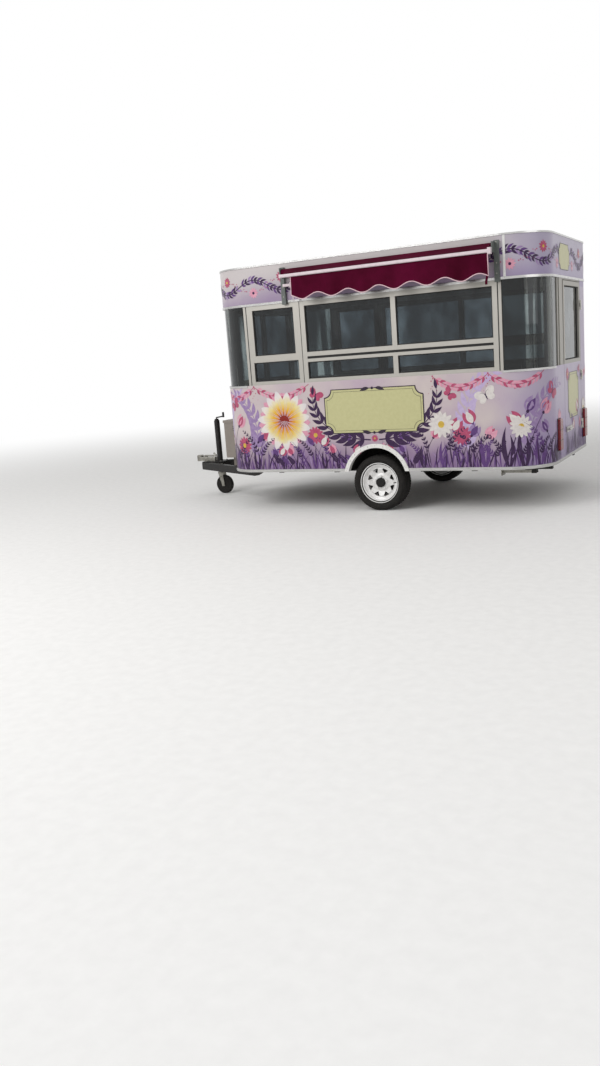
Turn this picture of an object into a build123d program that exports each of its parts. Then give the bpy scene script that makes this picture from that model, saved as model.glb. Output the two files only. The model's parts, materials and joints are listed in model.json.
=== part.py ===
from build123d import *
import math
import os

# Glazed food trailer with rounded corners, one axle and an A-frame drawbar, in millimetres.
# X runs from the drawbar (-) to the rear (+), Y from the serving side (-) to the far side (+)
# and Z up from the ground. While it is built the axle is at X = 0 and the middle of the body is
# at Y = 0. place() then moves every piece so that the origin is on the ground below the middle
# of the whole trailer.

# Body shell
body_front_x = -1615
body_rear_x = 1515
body_width = 1900
corner_radius = 350
wall_thickness = 40
skirt_z = 363
sill_z = 1180
head_z = 1900
roof_edge_z = 2250
roof_thickness = 35
roof_drop = 18
floor_thickness = 35

# Bright strips round the shell
strip_proud = 5
strip_bottom_height = 26
strip_head_height = 20
strip_top_height = 14
strip_lip = 12
head_strip_z = (head_z, head_z + strip_head_height)

# Windows: aluminium frames seen from outside
frame_depth = 45
frame_inset = 4
glass_thickness = 6
glass_inset = 22
corner_glass_inset = 12
rail_bottom = 32
rail_head = 42
# Cross rails of the windows: height of the lower edge, depth of the rail
small_transom = (1387, 61)
large_transom = (1362, 88)
sash_gap_rise = 28
sash_gap = 22
sash_gap_depth = 12
sash_rim = 22
small_window_x = (-1216, -664)
large_window_x = (-658, 1141)
small_stile = 42
large_stile = 45
mullion_x = 236
mullion_width = 45
front_window_half = 560
front_mullion = 45
corner_post = 30
filler_inset = 12
seal_gap = 1

# Rear wall and door
door_y = (-265, 435)
door_bottom_z = 402
door_top_z = 1884
door_gap = 6
door_rim = 48
door_rail = 40
rear_glass_end_y = -450
jamb_y = -405
hinge_pin_radius = 3.5
hinge_barrel_radius = 7
hinge_end_gap = 0.3
hinge_length = 90
hinge_leaf = 34
hinge_plate = 4
hinge_stand_off = 9
hinge_heights = (560, 1010, 1640)
latch_z = 590
latch_height = 46
latch_length = 230
latch_depth = 10
latch_inset = 18
handle_depth = 34
handle_radius = 6
handle_inset = 30
handle_foot = 18

# Running gear
wheel_z = 250
tyre_width = 190
wheel_inset = 118
rim_radius = 182.5
rim_width = 158
rim_sheet = 6
rim_lip = 10
rim_bevel = 3
bead_radius = 165
bead_seat = 20
well_radius = 140
well_slope = 14
disc_setback = 38
disc_sheet = 7
disc_dish = 4
disc_valley = (84, 14)
disc_ridge = (120, -4)
disc_flange = 6
spoke_count = 8
spoke_ring = 104
window_apex = 16
window_shoulder = (15, 27)
window_edge = (24, 22)
window_corner = 5
bolt_count = 5
bolt_ring_radius = 56
bolt_radius = 9
bolt_head = 12
hub_radius = 62
hub_margin = 4
hub_length = 70
cap_radius = 43
cap_height = 22
cap_round = 8
drum_radius = 115
drum_set_back = 20
drum_length = 60
spindle_radius = 16
spindle_fit = 0.05
spindle_end = 20
spindle_end_gap = 2
tyre_wall = 15
tyre_shoulder = (14, 17)
tyre_seat_gap = 0.3
tyre_flange_gap = 0.5
arch_z = 290
arch_radius = 283
arch_band = 37
arch_trim_depth = 12
trim_margin = 50
arch_slot_drop = 100
wheel_box_inset = 250
wheel_box_sheet = 3
axle_tube = 60
axle_tube_x = -165
arm_width = 34
arm_height = 60
arm_inset = 330

# Chassis and drawbar
rail_y = 450
rail_width = 45
rail_top_z = 350
rail_height = 50
rail_end_x = (-1500, 1440)
cross_top_z = 395
cross_width = 45
cross_xs = (-1540, -1000, -420, 420, 880, 1330)
cross_end_inset = 45
beam_width = 55
beam_height = 75
beam_tip = (-2440, 60)
beam_end = (-1340, 640)
beam_chamfer = 150
beam_end_height = 15
beam_parting = 1.0
weld_gap = 0.2
tip_plate = 10
tip_plate_behind = 75
tip_plate_width = 190

# Ball coupling
ball_x = -2520
ball_z = 392
ball_radius = 25.2
head_radius = 38
head_wall_top = 9
head_round = 12
neck_length = 170
neck_width = 72
neck_height = 44
neck_round = 10
lever_set_back = 20
lever_length = 150
lever_half = 14
lever_thickness = 12
lever_rise = 8
lever_foot_length = 30
lever_foot_half = 9
lever_grip_radius = 9
lever_grip_length = 30
lever_grip_rise = 26

# Jockey wheel
jockey_set_back = 175
jockey_tube_radius = 30
jockey_bore = 24.6
jockey_fit = 0.3
jockey_tube_z = (332, 800)
jockey_head_wall = 20
jockey_cap_inset = 8
jockey_cap_height = 16
jockey_inner_top = 640
jockey_wheel_radius = 100
jockey_wheel_width = 50
jockey_wheel_round = 12
jockey_trail = 36
jockey_pin_end = 5
fork_gap = 6
fork_sheet = 6
fork_top_z = 232
fork_crown_radius = 38
fork_top = (-22, 34)
fork_tip_half = 16
fork_tip_rise = 18
jockey_axle_radius = 8
crank_post = 14
crank_length = 90
crank_rise = 12
crank_rod = 7
crank_knob_radius = 11
crank_knob_height = 55

# Locker on the drawbar
locker_x = (-1920, -1665)
locker_half = 400
locker_z = (440, 822)
locker_sheet = 4
lid_height = 22
lid_sheet = 4
lid_gap = 3
lid_lift = 0.5
locker_barrel_radius = 6
locker_hinge_length = 90
locker_hinge_leaf = 24
locker_hinge_ys = (-300, 210)
locker_bearer = 40
locker_bearer_inset = 60
locker_bearer_half = 330

# Corner steadies at the rear
steady_x = 1330
steady_inset = 310
steady_pivot_z = 312
steady_length = 270
steady_width = 40
steady_thickness = 30
steady_pin = 7
steady_ear = 6
steady_foot = 110
steady_foot_sheet = 8
steady_foot_drop = 35
steady_heel = 14
steady_side_gap = 1.5
steady_ear_half = 22
steady_ear_drop = 18

# Awning
awning_x = (-740, 1135)
bracket_x = (-815, 1130)
bracket_width = 40
bracket_foot = 16
bracket_head = 53
bracket_reach = 26
roller_radius = 34
roller_stand_off = 54
roller_below_roof = 98
bar_stand_off = 162
bar_drop = 48
bar_depth = 34
bar_height = 28
bar_round = 8
canopy_cloth = 3
valance_drop = 150
valance_insets = (100, 15)
scallop_depth = 45
scallop_count = 7
scallop_pitch = 286.5
scallop_start = 65
arm_section = 22
arm_gap = 4
arm_rise = 4
arm_parting = 40
arm_end_inset = 60
elbow_radius = 21
elbow_cap = 3
cloth_gap = 0.5
cloth_inset = 15
cheek_half = 42
cheek_sheet = 8

# Interior
worktop_z = 1120
worktop_thickness = 30
worktop_depth = 460
cabinet_board = 18
cabinet_x = (-1180, 1040)
cabinet_bays = 4
cabinet_notch_gap = 5
plinth_z = 90

# Lamps
lamp_y = 530
lamp_width = 108
lamp_z = (470, 735)
lamp_depth = 26
lamp_corner = 16
lamp_edge = 8

half_width = body_width / 2
straight_x = (body_front_x + corner_radius, body_rear_x - corner_radius)
straight_y = half_width - corner_radius
wheel_y = half_width - wheel_inset
wheel_box_y = half_width - wheel_box_inset
arm_y = half_width - arm_inset
cross_half = half_width - cross_end_inset
steady_y = half_width - steady_inset
roller_z = roof_edge_z - roller_below_roof
floor_z = cross_top_z
floor_top_z = floor_z + floor_thickness
lid_z = locker_z[1] + lid_lift
jockey_x = beam_tip[0] + jockey_set_back
roller_y = -half_width - roller_stand_off
bar_y = -half_width - bar_stand_off
bar_z = roller_z - bar_drop
bracket_z = (head_z - bracket_foot, roller_z + bracket_head)
rim_edge = -wheel_y - rim_width / 2
disc_y = rim_edge + disc_setback
hub_y = disc_y + disc_dish + disc_sheet

front_reach = ball_x - head_radius
rear_reach = body_rear_x + handle_depth
serving_reach = bar_y - bar_depth / 2
far_reach = half_width + arch_trim_depth
origin_x = (front_reach + rear_reach) / 2
origin_y = (serving_reach + far_reach) / 2


def block(x_range, y_range, z_range):
    size = [max(r) - min(r) for r in (x_range, y_range, z_range)]
    middle = [(max(r) + min(r)) / 2 for r in (x_range, y_range, z_range)]
    return Pos(*middle) * Box(*size)


def rounded_prism(inset, z_range):
    length = body_rear_x - body_front_x - 2 * inset
    width = body_width - 2 * inset
    outline = RectangleRounded(length, width, corner_radius - inset)
    middle_x = (body_front_x + body_rear_x) / 2
    return Pos(middle_x, 0, z_range[0]) * extrude(outline, z_range[1] - z_range[0])


def shell_ring(outer_inset, inner_inset, z_range):
    return rounded_prism(outer_inset, z_range) - rounded_prism(inner_inset, z_range)


def corner_zone(end, side, z_range):
    edge_x = body_rear_x if end > 0 else body_front_x
    start_x = straight_x[1] if end > 0 else straight_x[0]
    far_x = edge_x + end * strip_proud * 2
    far_y = side * (half_width + strip_proud * 2)
    return block((start_x, far_x), (side * straight_y, far_y), z_range)


def rod(start, end, radius):
    axis = Vector(*end) - Vector(*start)
    plane = Plane(origin=start, z_dir=axis)
    return extrude(plane * Circle(radius), axis.length)


def mirrored(piece):
    return mirror(piece, about=Plane.XZ)


def pair(piece):
    return Compound(children=[piece, mirrored(piece)])


def place(piece):
    return Pos(-origin_x, -origin_y, 0) * piece


def arch_cutter(radius, y_range):
    drum = rod((0, y_range[0], arch_z), (0, y_range[1], arch_z), radius)
    slot = block((-radius, radius), y_range, (skirt_z - arch_slot_drop, arch_z))
    return drum + slot


def side_panel(z_range):
    return block(straight_x, (-half_width, -half_width + wall_thickness), z_range)


def end_shell(end, z_range):
    reach = body_width
    edge_x = straight_x[1] if end > 0 else straight_x[0]
    zone = block((edge_x, edge_x + end * reach), (-reach, reach), z_range)
    return shell_ring(0, wall_thickness, z_range) & zone


def lower_walls():
    z_range = (skirt_z, sill_z)
    cutter = arch_cutter(arch_radius, (-body_width, body_width))
    serving = side_panel(z_range) - cutter
    door_hole = block((straight_x[1], body_rear_x + 1), (door_y[0] - door_gap, body_width),
                      (door_bottom_z - door_gap, sill_z))
    far_corner = corner_zone(1, 1, z_range)
    far_strip = block((straight_x[1], body_rear_x), (door_y[1] + door_gap, body_width), z_range)
    return {
        "lower_wall_serving": serving,
        "lower_wall_far": mirrored(serving),
        "lower_front_end": end_shell(-1, z_range),
        "lower_rear_end": end_shell(1, z_range) - door_hole - far_corner - far_strip,
    }


def rear_corner_panel():
    full = (skirt_z, head_z)
    keep = block((straight_x[1], body_rear_x), (door_y[1] + door_gap, body_width), full)
    return {"rear_corner_panel_far": end_shell(1, full) & keep}


def fascia():
    z_range = (head_z, roof_edge_z)
    serving = side_panel(z_range)
    return {
        "fascia_serving": serving,
        "fascia_far": mirrored(serving),
        "fascia_front_end": end_shell(-1, z_range),
        "fascia_rear_end": end_shell(1, z_range),
    }


def roof():
    top = roof_edge_z - roof_drop
    sheet = rounded_prism(wall_thickness, (top - roof_thickness, top))
    return {"roof_panel": sheet}


def edge_strips():
    cutter = arch_cutter(arch_radius + arch_band, (-body_width, body_width))
    bottom_range = (skirt_z, skirt_z + strip_bottom_height)
    top_range = (roof_edge_z - strip_top_height + strip_proud, roof_edge_z)
    cap_range = (roof_edge_z, roof_edge_z + strip_proud)
    strips = (shell_ring(-strip_proud, 0, bottom_range) - cutter).solids()
    strips += shell_ring(-strip_proud, 0, head_strip_z).solids()
    cap = shell_ring(-strip_proud, 0, top_range) + shell_ring(-strip_proud, strip_lip, cap_range)
    strips += cap.solids()
    return {"edge_strips": Compound(children=strips)}


def window_unit(x_range, stile, mullions, rim, transom):
    outer_y = -half_width + frame_inset
    y_range = (outer_y, outer_y + frame_depth)
    frame = block(x_range, y_range, (sill_z, head_z))
    for bay in bay_edges(x_range, stile, mullions):
        for x_edges, z_edges in pane_openings(bay, rim, transom):
            frame -= block(x_edges, y_range, z_edges)
    return frame


def pane_openings(bay, rim, transom):
    upper_z = (transom[0] + transom[1], head_z - rail_head)
    lower_z = (sill_z + rail_bottom, transom[0])
    return [((bay[0] + rim, bay[1] - rim), upper_z), (bay, lower_z)]


def sash_groove():
    outer_y = -half_width + frame_inset
    gap_z = large_transom[0] + sash_gap_rise
    inside_x = (large_window_x[0] + large_stile, large_window_x[1] - large_stile)
    return block(inside_x, (outer_y, outer_y + sash_gap_depth), (gap_z, gap_z + sash_gap))


def bay_edges(x_range, stile, mullions):
    edges = [x_range[0] + stile]
    for middle in mullions:
        edges += [middle - mullion_width / 2, middle + mullion_width / 2]
    edges.append(x_range[1] - stile)
    return list(zip(edges[::2], edges[1::2]))


def window_panes(x_range, stile, mullions, rim, transom):
    pane_y = -half_width + glass_inset
    panes = []
    for bay in bay_edges(x_range, stile, mullions):
        for x_edges, z_edges in pane_openings(bay, rim, transom):
            panes.append(block(x_edges, (pane_y, pane_y + glass_thickness), z_edges))
    return panes


def side_windows():
    small = window_unit(small_window_x, small_stile, (), sash_rim, small_transom)
    large = window_unit(large_window_x, large_stile, (mullion_x,), 0, large_transom) - sash_groove()
    panes = window_panes(small_window_x, small_stile, (), sash_rim, small_transom)
    panes += window_panes(large_window_x, large_stile, (mullion_x,), 0, large_transom)
    return {
        "window_frames_serving": Compound(children=[small, large]),
        "window_frames_far": Compound(children=[mirrored(small), mirrored(large)]),
        "window_glass": Compound(children=panes + [mirrored(pane) for pane in panes] + front_panes()),
    }


def front_bays():
    inner = front_window_half - small_stile
    return [(side * front_mullion / 2, side * inner) for side in (-1, 1)]


def front_panes():
    pane_x = (body_front_x + glass_inset, body_front_x + glass_inset + glass_thickness)
    return [block(pane_x, bay, (sill_z + rail_bottom, head_z - rail_head)) for bay in front_bays()]


def front_window():
    x_range = (body_front_x + frame_inset, body_front_x + frame_inset + frame_depth)
    frame = block(x_range, (-front_window_half, front_window_half), (sill_z, head_z))
    for bay in front_bays():
        frame -= block(x_range, bay, (sill_z + rail_bottom, head_z - rail_head))
    return {"window_frame_front": frame}


def corner_glazing():
    z_range = (sill_z, head_z)
    outer = corner_glass_inset
    ring = shell_ring(outer, outer + glass_thickness, z_range)
    post_ring = shell_ring(frame_inset, frame_inset + frame_depth, z_range)
    # Each corner: end and side, then where its glass ends along the side wall (X) and the end wall (Y)
    corners = (
        (-1, -1, small_window_x[0] - seal_gap, front_window_half + seal_gap),
        (-1, 1, small_window_x[0] - seal_gap, front_window_half + seal_gap),
        (1, -1, large_window_x[1] + seal_gap, -rear_glass_end_y),
    )
    glass = []
    posts = []
    for end, side, side_end_x, end_wall_y in corners:
        edge_x = (body_rear_x if end > 0 else body_front_x) + end
        zone = block((side_end_x, edge_x), (side * end_wall_y, side * (half_width + 1)), z_range)
        inner = block((side_end_x + end * corner_post, edge_x),
                      (side * (end_wall_y + corner_post), side * (half_width + 1)), z_range)
        glass.append(ring & inner)
        posts += (post_ring & (zone - inner)).solids()
    far_end = large_window_x[1] + seal_gap
    far_zone = block((far_end, straight_x[1]), (straight_y, half_width + 1), z_range)
    posts += (post_ring & far_zone).solids()
    jamb_x = (body_rear_x - frame_inset - frame_depth, body_rear_x - frame_inset)
    jamb = block(jamb_x, (jamb_y, door_y[0] - door_gap), z_range)
    filler_x = (jamb_x[0], jamb_x[1] - filler_inset)
    filler = block(filler_x, (rear_glass_end_y, jamb_y), z_range)
    lintel = block(jamb_x, (door_y[0] - door_gap, door_y[1] + door_gap), (door_top_z + door_gap, head_z))
    fused = jamb + filler + lintel
    for post in posts:
        fused += post
    return {
        "corner_glass": Compound(children=glass),
        "window_posts": fused,
    }


def door():
    leaf_x = (body_rear_x - wall_thickness, body_rear_x)
    panel = block(leaf_x, door_y, (door_bottom_z, sill_z))
    frame = block(leaf_x, door_y, (sill_z, door_top_z))
    opening_y = (door_y[0] + door_rim, door_y[1] - door_rim)
    opening_z = (sill_z + rail_bottom, door_top_z - door_rail)
    frame -= block(leaf_x, opening_y, opening_z)
    pane_x = (body_rear_x - glass_inset - glass_thickness, body_rear_x - glass_inset)
    pane = block(pane_x, opening_y, opening_z)
    plate_y = (door_y[0] + latch_inset, door_y[0] + latch_inset + latch_length)
    plate = block((body_rear_x, body_rear_x + latch_depth), plate_y, (latch_z, latch_z + latch_height))
    grip_x = body_rear_x + handle_depth - handle_radius
    grip_y = (plate_y[0] + handle_inset, plate_y[1] - 2 * handle_inset)
    grip_z = latch_z + latch_height / 2
    grip = rod((grip_x, grip_y[0], grip_z), (grip_x, grip_y[1], grip_z), handle_radius)
    foot = block((body_rear_x + latch_depth, grip_x), (grip_y[0], grip_y[0] + handle_foot),
                 (grip_z - handle_foot / 2, grip_z + handle_foot / 2))
    return {
        "door_panel": panel,
        "door_window_frame": frame,
        "door_glass": pane,
        "door_fittings": Compound(children=[plate + grip + foot] + door_hinge_leaves()),
    }


def door_hinge_axis():
    return body_rear_x + hinge_stand_off, door_y[1] + door_gap / 2


def door_knuckle(z_range, side):
    axis_x, axis_y = door_hinge_axis()
    low = z_range[0] + hinge_end_gap
    high = z_range[1] - hinge_end_gap
    barrel = rod((axis_x, axis_y, low), (axis_x, axis_y, high), hinge_barrel_radius)
    near_y = axis_y + side * door_gap / 4
    leaf = block((body_rear_x, body_rear_x + hinge_plate), (near_y, axis_y + side * hinge_leaf), (low, high))
    web = block((body_rear_x, axis_x), (near_y, axis_y + side * hinge_barrel_radius), (low, high))
    return barrel + leaf + web


def door_hinge_leaves():
    axis_x, axis_y = door_hinge_axis()
    third = hinge_length / 3
    leaves = []
    for low in hinge_heights:
        pin = rod((axis_x, axis_y, low), (axis_x, axis_y, low + hinge_length), hinge_pin_radius)
        upper = door_knuckle((low + 2 * third, low + hinge_length), -1)
        leaves.append(door_knuckle((low, low + third), -1) + upper + pin)
    return leaves


def wall_hinges():
    axis_x, axis_y = door_hinge_axis()
    third = hinge_length / 3
    leaves = []
    for low in hinge_heights:
        bore = rod((axis_x, axis_y, low), (axis_x, axis_y, low + hinge_length),
                   hinge_pin_radius + spindle_fit)
        leaves.append(door_knuckle((low + third, low + 2 * third), 1) - bore)
    return {"wall_hinge_leaves": Compound(children=leaves)}


def arch_trims():
    outer = rod((0, -half_width - arch_trim_depth, arch_z), (0, -half_width, arch_z), arch_radius + arch_band)
    legs = block((-arch_radius - arch_band, arch_radius + arch_band),
                 (-half_width - arch_trim_depth, -half_width), (skirt_z, arch_z))
    reach = arch_radius + arch_band + trim_margin
    keep = block((-reach, reach), (-half_width - trim_margin, -half_width), (skirt_z, arch_z + reach))
    band = (outer + legs) & keep if arch_z > skirt_z else outer & keep
    band -= arch_cutter(arch_radius, (-half_width - trim_margin, -half_width + trim_margin))
    return {"arch_trims": pair(band)}


def wheel_boxes():
    outer_r = arch_radius + wheel_box_sheet
    y_range = (-half_width + wall_thickness, -wheel_box_y)
    drum = rod((0, y_range[0], arch_z), (0, y_range[1], arch_z), outer_r)
    room = rod((0, y_range[0], arch_z), (0, y_range[1] - wheel_box_sheet, arch_z), arch_radius)
    keep = block((-outer_r, outer_r), y_range, (skirt_z, arch_z + outer_r))
    return {"wheel_boxes": pair((drum - room) & keep)}


def floor():
    z_range = (floor_z, floor_top_z)
    notch = arch_radius + wheel_box_sheet
    sheet = rounded_prism(wall_thickness, z_range)
    for side in (-1, 1):
        sheet -= block((-notch, notch), (side * wheel_box_y, side * half_width), z_range)
    return {"floor_panel": sheet}


def chassis():
    z_range = (rail_top_z - rail_height, rail_top_z)
    rail = block(rail_end_x, (-rail_y - rail_width / 2, -rail_y + rail_width / 2), z_range)
    cross_z = (rail_top_z, cross_top_z)
    members = []
    for x in cross_xs:
        members.append(block((x - cross_width / 2, x + cross_width / 2), (-cross_half, cross_half), cross_z))
    trimmed = [member & rounded_prism(wall_thickness, cross_z) for member in members]
    for bracket in steady_brackets():
        trimmed[-1] += bracket
    return {
        "chassis_rails": pair(rail),
        "cross_members": Compound(children=trimmed),
    }


def drawbar():
    top = rail_top_z
    low = rail_top_z - beam_height
    start = Vector(beam_tip[0], beam_tip[1], 0)
    end = Vector(beam_end[0], beam_end[1], 0)
    run = end - start
    plane = Plane(origin=(start.X, start.Y, low), x_dir=run, z_dir=(0, 0, 1))
    bar = plane * Pos(run.length / 2, 0, beam_height / 2) * Box(run.length, beam_width, beam_height)
    wedge_plane = Plane(origin=(start.X, start.Y, low), x_dir=run, z_dir=(run.Y, -run.X, 0))
    points = [(run.length - beam_chamfer, 0), (run.length, 0), (run.length, beam_height - beam_end_height)]
    wedge = extrude(wedge_plane * make_face(Polyline(*points, close=True)), beam_width, both=True)
    bar -= wedge
    bar -= block((2 * beam_tip[0], 0), (-body_width, beam_parting / 2), (0, top))
    plate_x = (beam_tip[0], jockey_x + tip_plate_behind)
    plate = block(plate_x, (-tip_plate_width / 2, tip_plate_width / 2), (top, top + tip_plate))
    plate -= rod((jockey_x, 0, top), (jockey_x, 0, top + tip_plate), jockey_tube_radius + weld_gap)
    return {
        "drawbar_beams": pair(bar),
        "drawbar_tip_plate": plate,
    }


def coupling():
    base_z = rail_top_z + tip_plate
    head_top = ball_z + ball_radius + head_wall_top
    head = extrude(Pos(ball_x, 0, base_z) * Circle(head_radius), head_top - base_z)
    head = fillet(head.edges().group_by(Axis.Z)[-1], head_round)
    neck_x = (ball_x, ball_x + head_radius + neck_length)
    neck = block(neck_x, (-neck_width / 2, neck_width / 2), (base_z, base_z + neck_height))
    neck = fillet(neck.edges().filter_by(Axis.X).group_by(Axis.Z)[-1], neck_round)
    socket = rod((ball_x, 0, 0), (ball_x, 0, ball_z), ball_radius)
    socket += Pos(ball_x, 0, ball_z) * Sphere(ball_radius)
    return {"coupling_head": head + neck - socket + coupling_lever(base_z + neck_height)}


def coupling_lever(neck_top):
    start_x = ball_x + head_radius + lever_set_back
    end_x = start_x + lever_length
    low = neck_top + lever_rise
    high = low + lever_thickness
    lever = block((start_x, end_x), (-lever_half, lever_half), (low, high))
    lever += block((start_x, start_x + lever_foot_length), (-lever_foot_half, lever_foot_half),
                   (neck_top, low))
    grip_z = (low + high) / 2
    lever += rod((end_x, 0, grip_z), (end_x - lever_grip_length, 0, grip_z + lever_grip_rise),
                 lever_grip_radius)
    return lever


def jockey():
    low, high = jockey_tube_z
    tube = rod((jockey_x, 0, low), (jockey_x, 0, high), jockey_tube_radius)
    tube -= rod((jockey_x, 0, 0), (jockey_x, 0, high - jockey_head_wall), jockey_bore)
    cap_top = high + jockey_cap_height
    tube += rod((jockey_x, 0, high), (jockey_x, 0, cap_top), jockey_tube_radius - jockey_cap_inset)
    knee_z = cap_top + crank_post
    knob_x = jockey_x + crank_length
    tube += rod((jockey_x, 0, cap_top), (jockey_x, 0, knee_z), crank_rod)
    tube += Pos(jockey_x, 0, knee_z) * Sphere(crank_rod)
    tube += rod((jockey_x, 0, knee_z), (knob_x, 0, knee_z + crank_rise), crank_rod)
    tube += rod((knob_x, 0, knee_z), (knob_x, 0, knee_z + crank_knob_height), crank_knob_radius)
    return {"jockey_outer_tube": tube}


def jockey_leg():
    inner = rod((jockey_x, 0, fork_top_z + fork_sheet), (jockey_x, 0, jockey_inner_top),
                jockey_bore - jockey_fit)
    return {
        "jockey_inner_tube": inner,
        "jockey_fork": jockey_fork(),
        "jockey_wheel": jockey_wheel(),
    }


def jockey_fork():
    wheel_x = jockey_x + jockey_trail
    top_x = (jockey_x + fork_top[0], jockey_x + fork_top[1])
    inside = jockey_wheel_width / 2 + fork_gap
    outside = inside + fork_sheet
    tip_z = jockey_wheel_radius - fork_tip_rise
    outline = [(top_x[0], fork_top_z), (top_x[1], fork_top_z), (wheel_x + fork_tip_half, tip_z),
               (wheel_x - fork_tip_half, tip_z)]
    cheek = extrude(Plane.XZ * make_face(Polyline(*outline, close=True)), outside, both=True)
    room = block((top_x[0], top_x[1] + jockey_trail), (-inside, inside), (tip_z, fork_top_z - fork_sheet))
    pin_reach = outside + jockey_pin_end
    fork = cheek - room
    fork += rod((jockey_x, 0, fork_top_z), (jockey_x, 0, fork_top_z + fork_sheet), fork_crown_radius)
    fork += rod((wheel_x, -pin_reach, jockey_wheel_radius), (wheel_x, pin_reach, jockey_wheel_radius),
                jockey_axle_radius)
    return fork


def jockey_wheel():
    wheel_x = jockey_x + jockey_trail
    ends = [(wheel_x, side * jockey_wheel_width / 2, jockey_wheel_radius) for side in (-1, 1)]
    tread = rod(*ends, jockey_wheel_radius)
    tread = fillet(tread.edges().filter_by(GeomType.CIRCLE), jockey_wheel_round)
    return tread - rod(*ends, jockey_axle_radius + spindle_fit)


def locker_hinge(y):
    axis_x = locker_x[1] + locker_barrel_radius + hinge_end_gap
    axis_z = locker_z[1]
    third = locker_hinge_length / 3
    pin = rod((axis_x, y, axis_z), (axis_x, y + 3 * third, axis_z), hinge_pin_radius)
    lid_side = pin
    for low in (y, y + 2 * third):
        span = (low + hinge_end_gap, low + third - hinge_end_gap)
        lid_side += rod((axis_x, span[0], axis_z), (axis_x, span[1], axis_z), locker_barrel_radius)
        lid_side += block((locker_x[1] - lid_sheet, axis_x), span, (lid_z, lid_z + lid_sheet))
    span = (y + third + hinge_end_gap, y + 2 * third - hinge_end_gap)
    box_side = rod((axis_x, span[0], axis_z), (axis_x, span[1], axis_z), locker_barrel_radius)
    box_side += block((locker_x[1], axis_x), span, (axis_z - locker_hinge_leaf, axis_z))
    box_side -= rod((axis_x, y, axis_z), (axis_x, y + 3 * third, axis_z), hinge_pin_radius + spindle_fit)
    return lid_side, box_side


def locker():
    shell = block(locker_x, (-locker_half, locker_half), locker_z)
    shell -= block((locker_x[0] + locker_sheet, locker_x[1] - locker_sheet),
                   (-locker_half + locker_sheet, locker_half - locker_sheet),
                   (locker_z[0] + locker_sheet, locker_z[1] + 1))
    over = lid_gap + lid_sheet
    lid_x = (locker_x[0] - over, locker_x[1])
    lid_y = (-locker_half - over, locker_half + over)
    lid = block(lid_x, lid_y, (lid_z - lid_height, lid_z + lid_sheet))
    lid -= block((lid_x[0] + lid_sheet, lid_x[1] + 1), (lid_y[0] + lid_sheet, lid_y[1] - lid_sheet),
                 (lid_z - lid_height, lid_z))
    for y in locker_hinge_ys:
        lid_side, box_side = locker_hinge(y)
        lid += lid_side
        shell += box_side
    for x in (locker_x[0] + locker_bearer_inset, locker_x[1] - locker_bearer_inset):
        shell += block((x - locker_bearer / 2, x + locker_bearer / 2),
                       (-locker_bearer_half, locker_bearer_half),
                       (rail_top_z, locker_z[0]))
    return {
        "locker_box": shell,
        "locker_lid": lid,
    }


def axle():
    tube_z = (rail_top_z - rail_height - axle_tube, rail_top_z - rail_height)
    tube = block((axle_tube_x - axle_tube / 2, axle_tube_x + axle_tube / 2),
                 (-arm_y + arm_width / 2, arm_y - arm_width / 2), tube_z)
    tube_mid = sum(tube_z) / 2
    start = Vector(axle_tube_x, 0, tube_mid)
    end = Vector(0, 0, wheel_z)
    run = end - start
    plane = Plane(origin=(start.X, -arm_y, start.Z), x_dir=run, z_dir=(0, -1, 0))
    arm = extrude(plane * Pos(run.length / 2, 0) * SlotCenterToCenter(run.length, arm_height),
                  arm_width / 2, both=True)
    spindle = rod((0, -arm_y, wheel_z), (0, -wheel_y - spindle_end, wheel_z), spindle_radius)
    return {
        "axle_tube": tube,
        "stub_axles": pair(arm + spindle),
    }


def rim_outline():
    # Half section from the rim's edge inwards: radius, distance from the edge
    section = (
        (rim_radius, 0),
        (rim_radius, rim_lip),
        (bead_radius, rim_lip + rim_bevel),
        (bead_radius, rim_lip + bead_seat),
        (well_radius, rim_lip + bead_seat + well_slope),
    )
    outside = [(radius, rim_edge + inset) for radius, inset in section]
    outside += [(radius, rim_edge + rim_width - inset) for radius, inset in reversed(section)]
    inside = [(radius - rim_sheet, y) for radius, y in reversed(outside)]
    return make_face(Polyline(*outside, *inside, close=True))


def disc_outline():
    # Pressed disc from its middle out: radius, depth behind the disc plane
    section = (
        (0, disc_dish),
        (hub_radius, disc_dish),
        disc_valley,
        disc_ridge,
        (well_radius - rim_sheet, disc_flange),
    )
    front = [(radius, disc_y + depth) for radius, depth in section]
    back = [(radius, y + disc_sheet) for radius, y in reversed(front)]
    return make_face(Polyline(*front, *back, close=True))


def spoke_windows():
    outline = make_face(Polyline(
        (-window_apex, 0),
        (window_shoulder[0], -window_shoulder[1]),
        (window_edge[0], -window_edge[1]),
        (window_edge[0], window_edge[1]),
        (window_shoulder[0], window_shoulder[1]),
        close=True,
    ))
    outline = fillet(outline.vertices(), window_corner)
    plane = Plane(origin=(0, rim_edge, wheel_z), x_dir=(1, 0, 0), z_dir=(0, 1, 0))
    windows = []
    for index in range(spoke_count):
        angle = (index + 0.5) * 360 / spoke_count
        windows.append(extrude(plane * Rot(0, 0, angle) * Pos(spoke_ring, 0) * outline, rim_width))
    return windows


def wheel_bolts():
    bolts = []
    face_y = disc_y + disc_dish
    for index in range(bolt_count):
        angle = math.radians(90 + 360 / bolt_count * index)
        x = bolt_ring_radius * math.cos(angle)
        z = wheel_z + bolt_ring_radius * math.sin(angle)
        bolts.append(rod((x, face_y + disc_sheet / 2, z), (x, face_y - bolt_head, z), bolt_radius))
    return bolts


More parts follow.
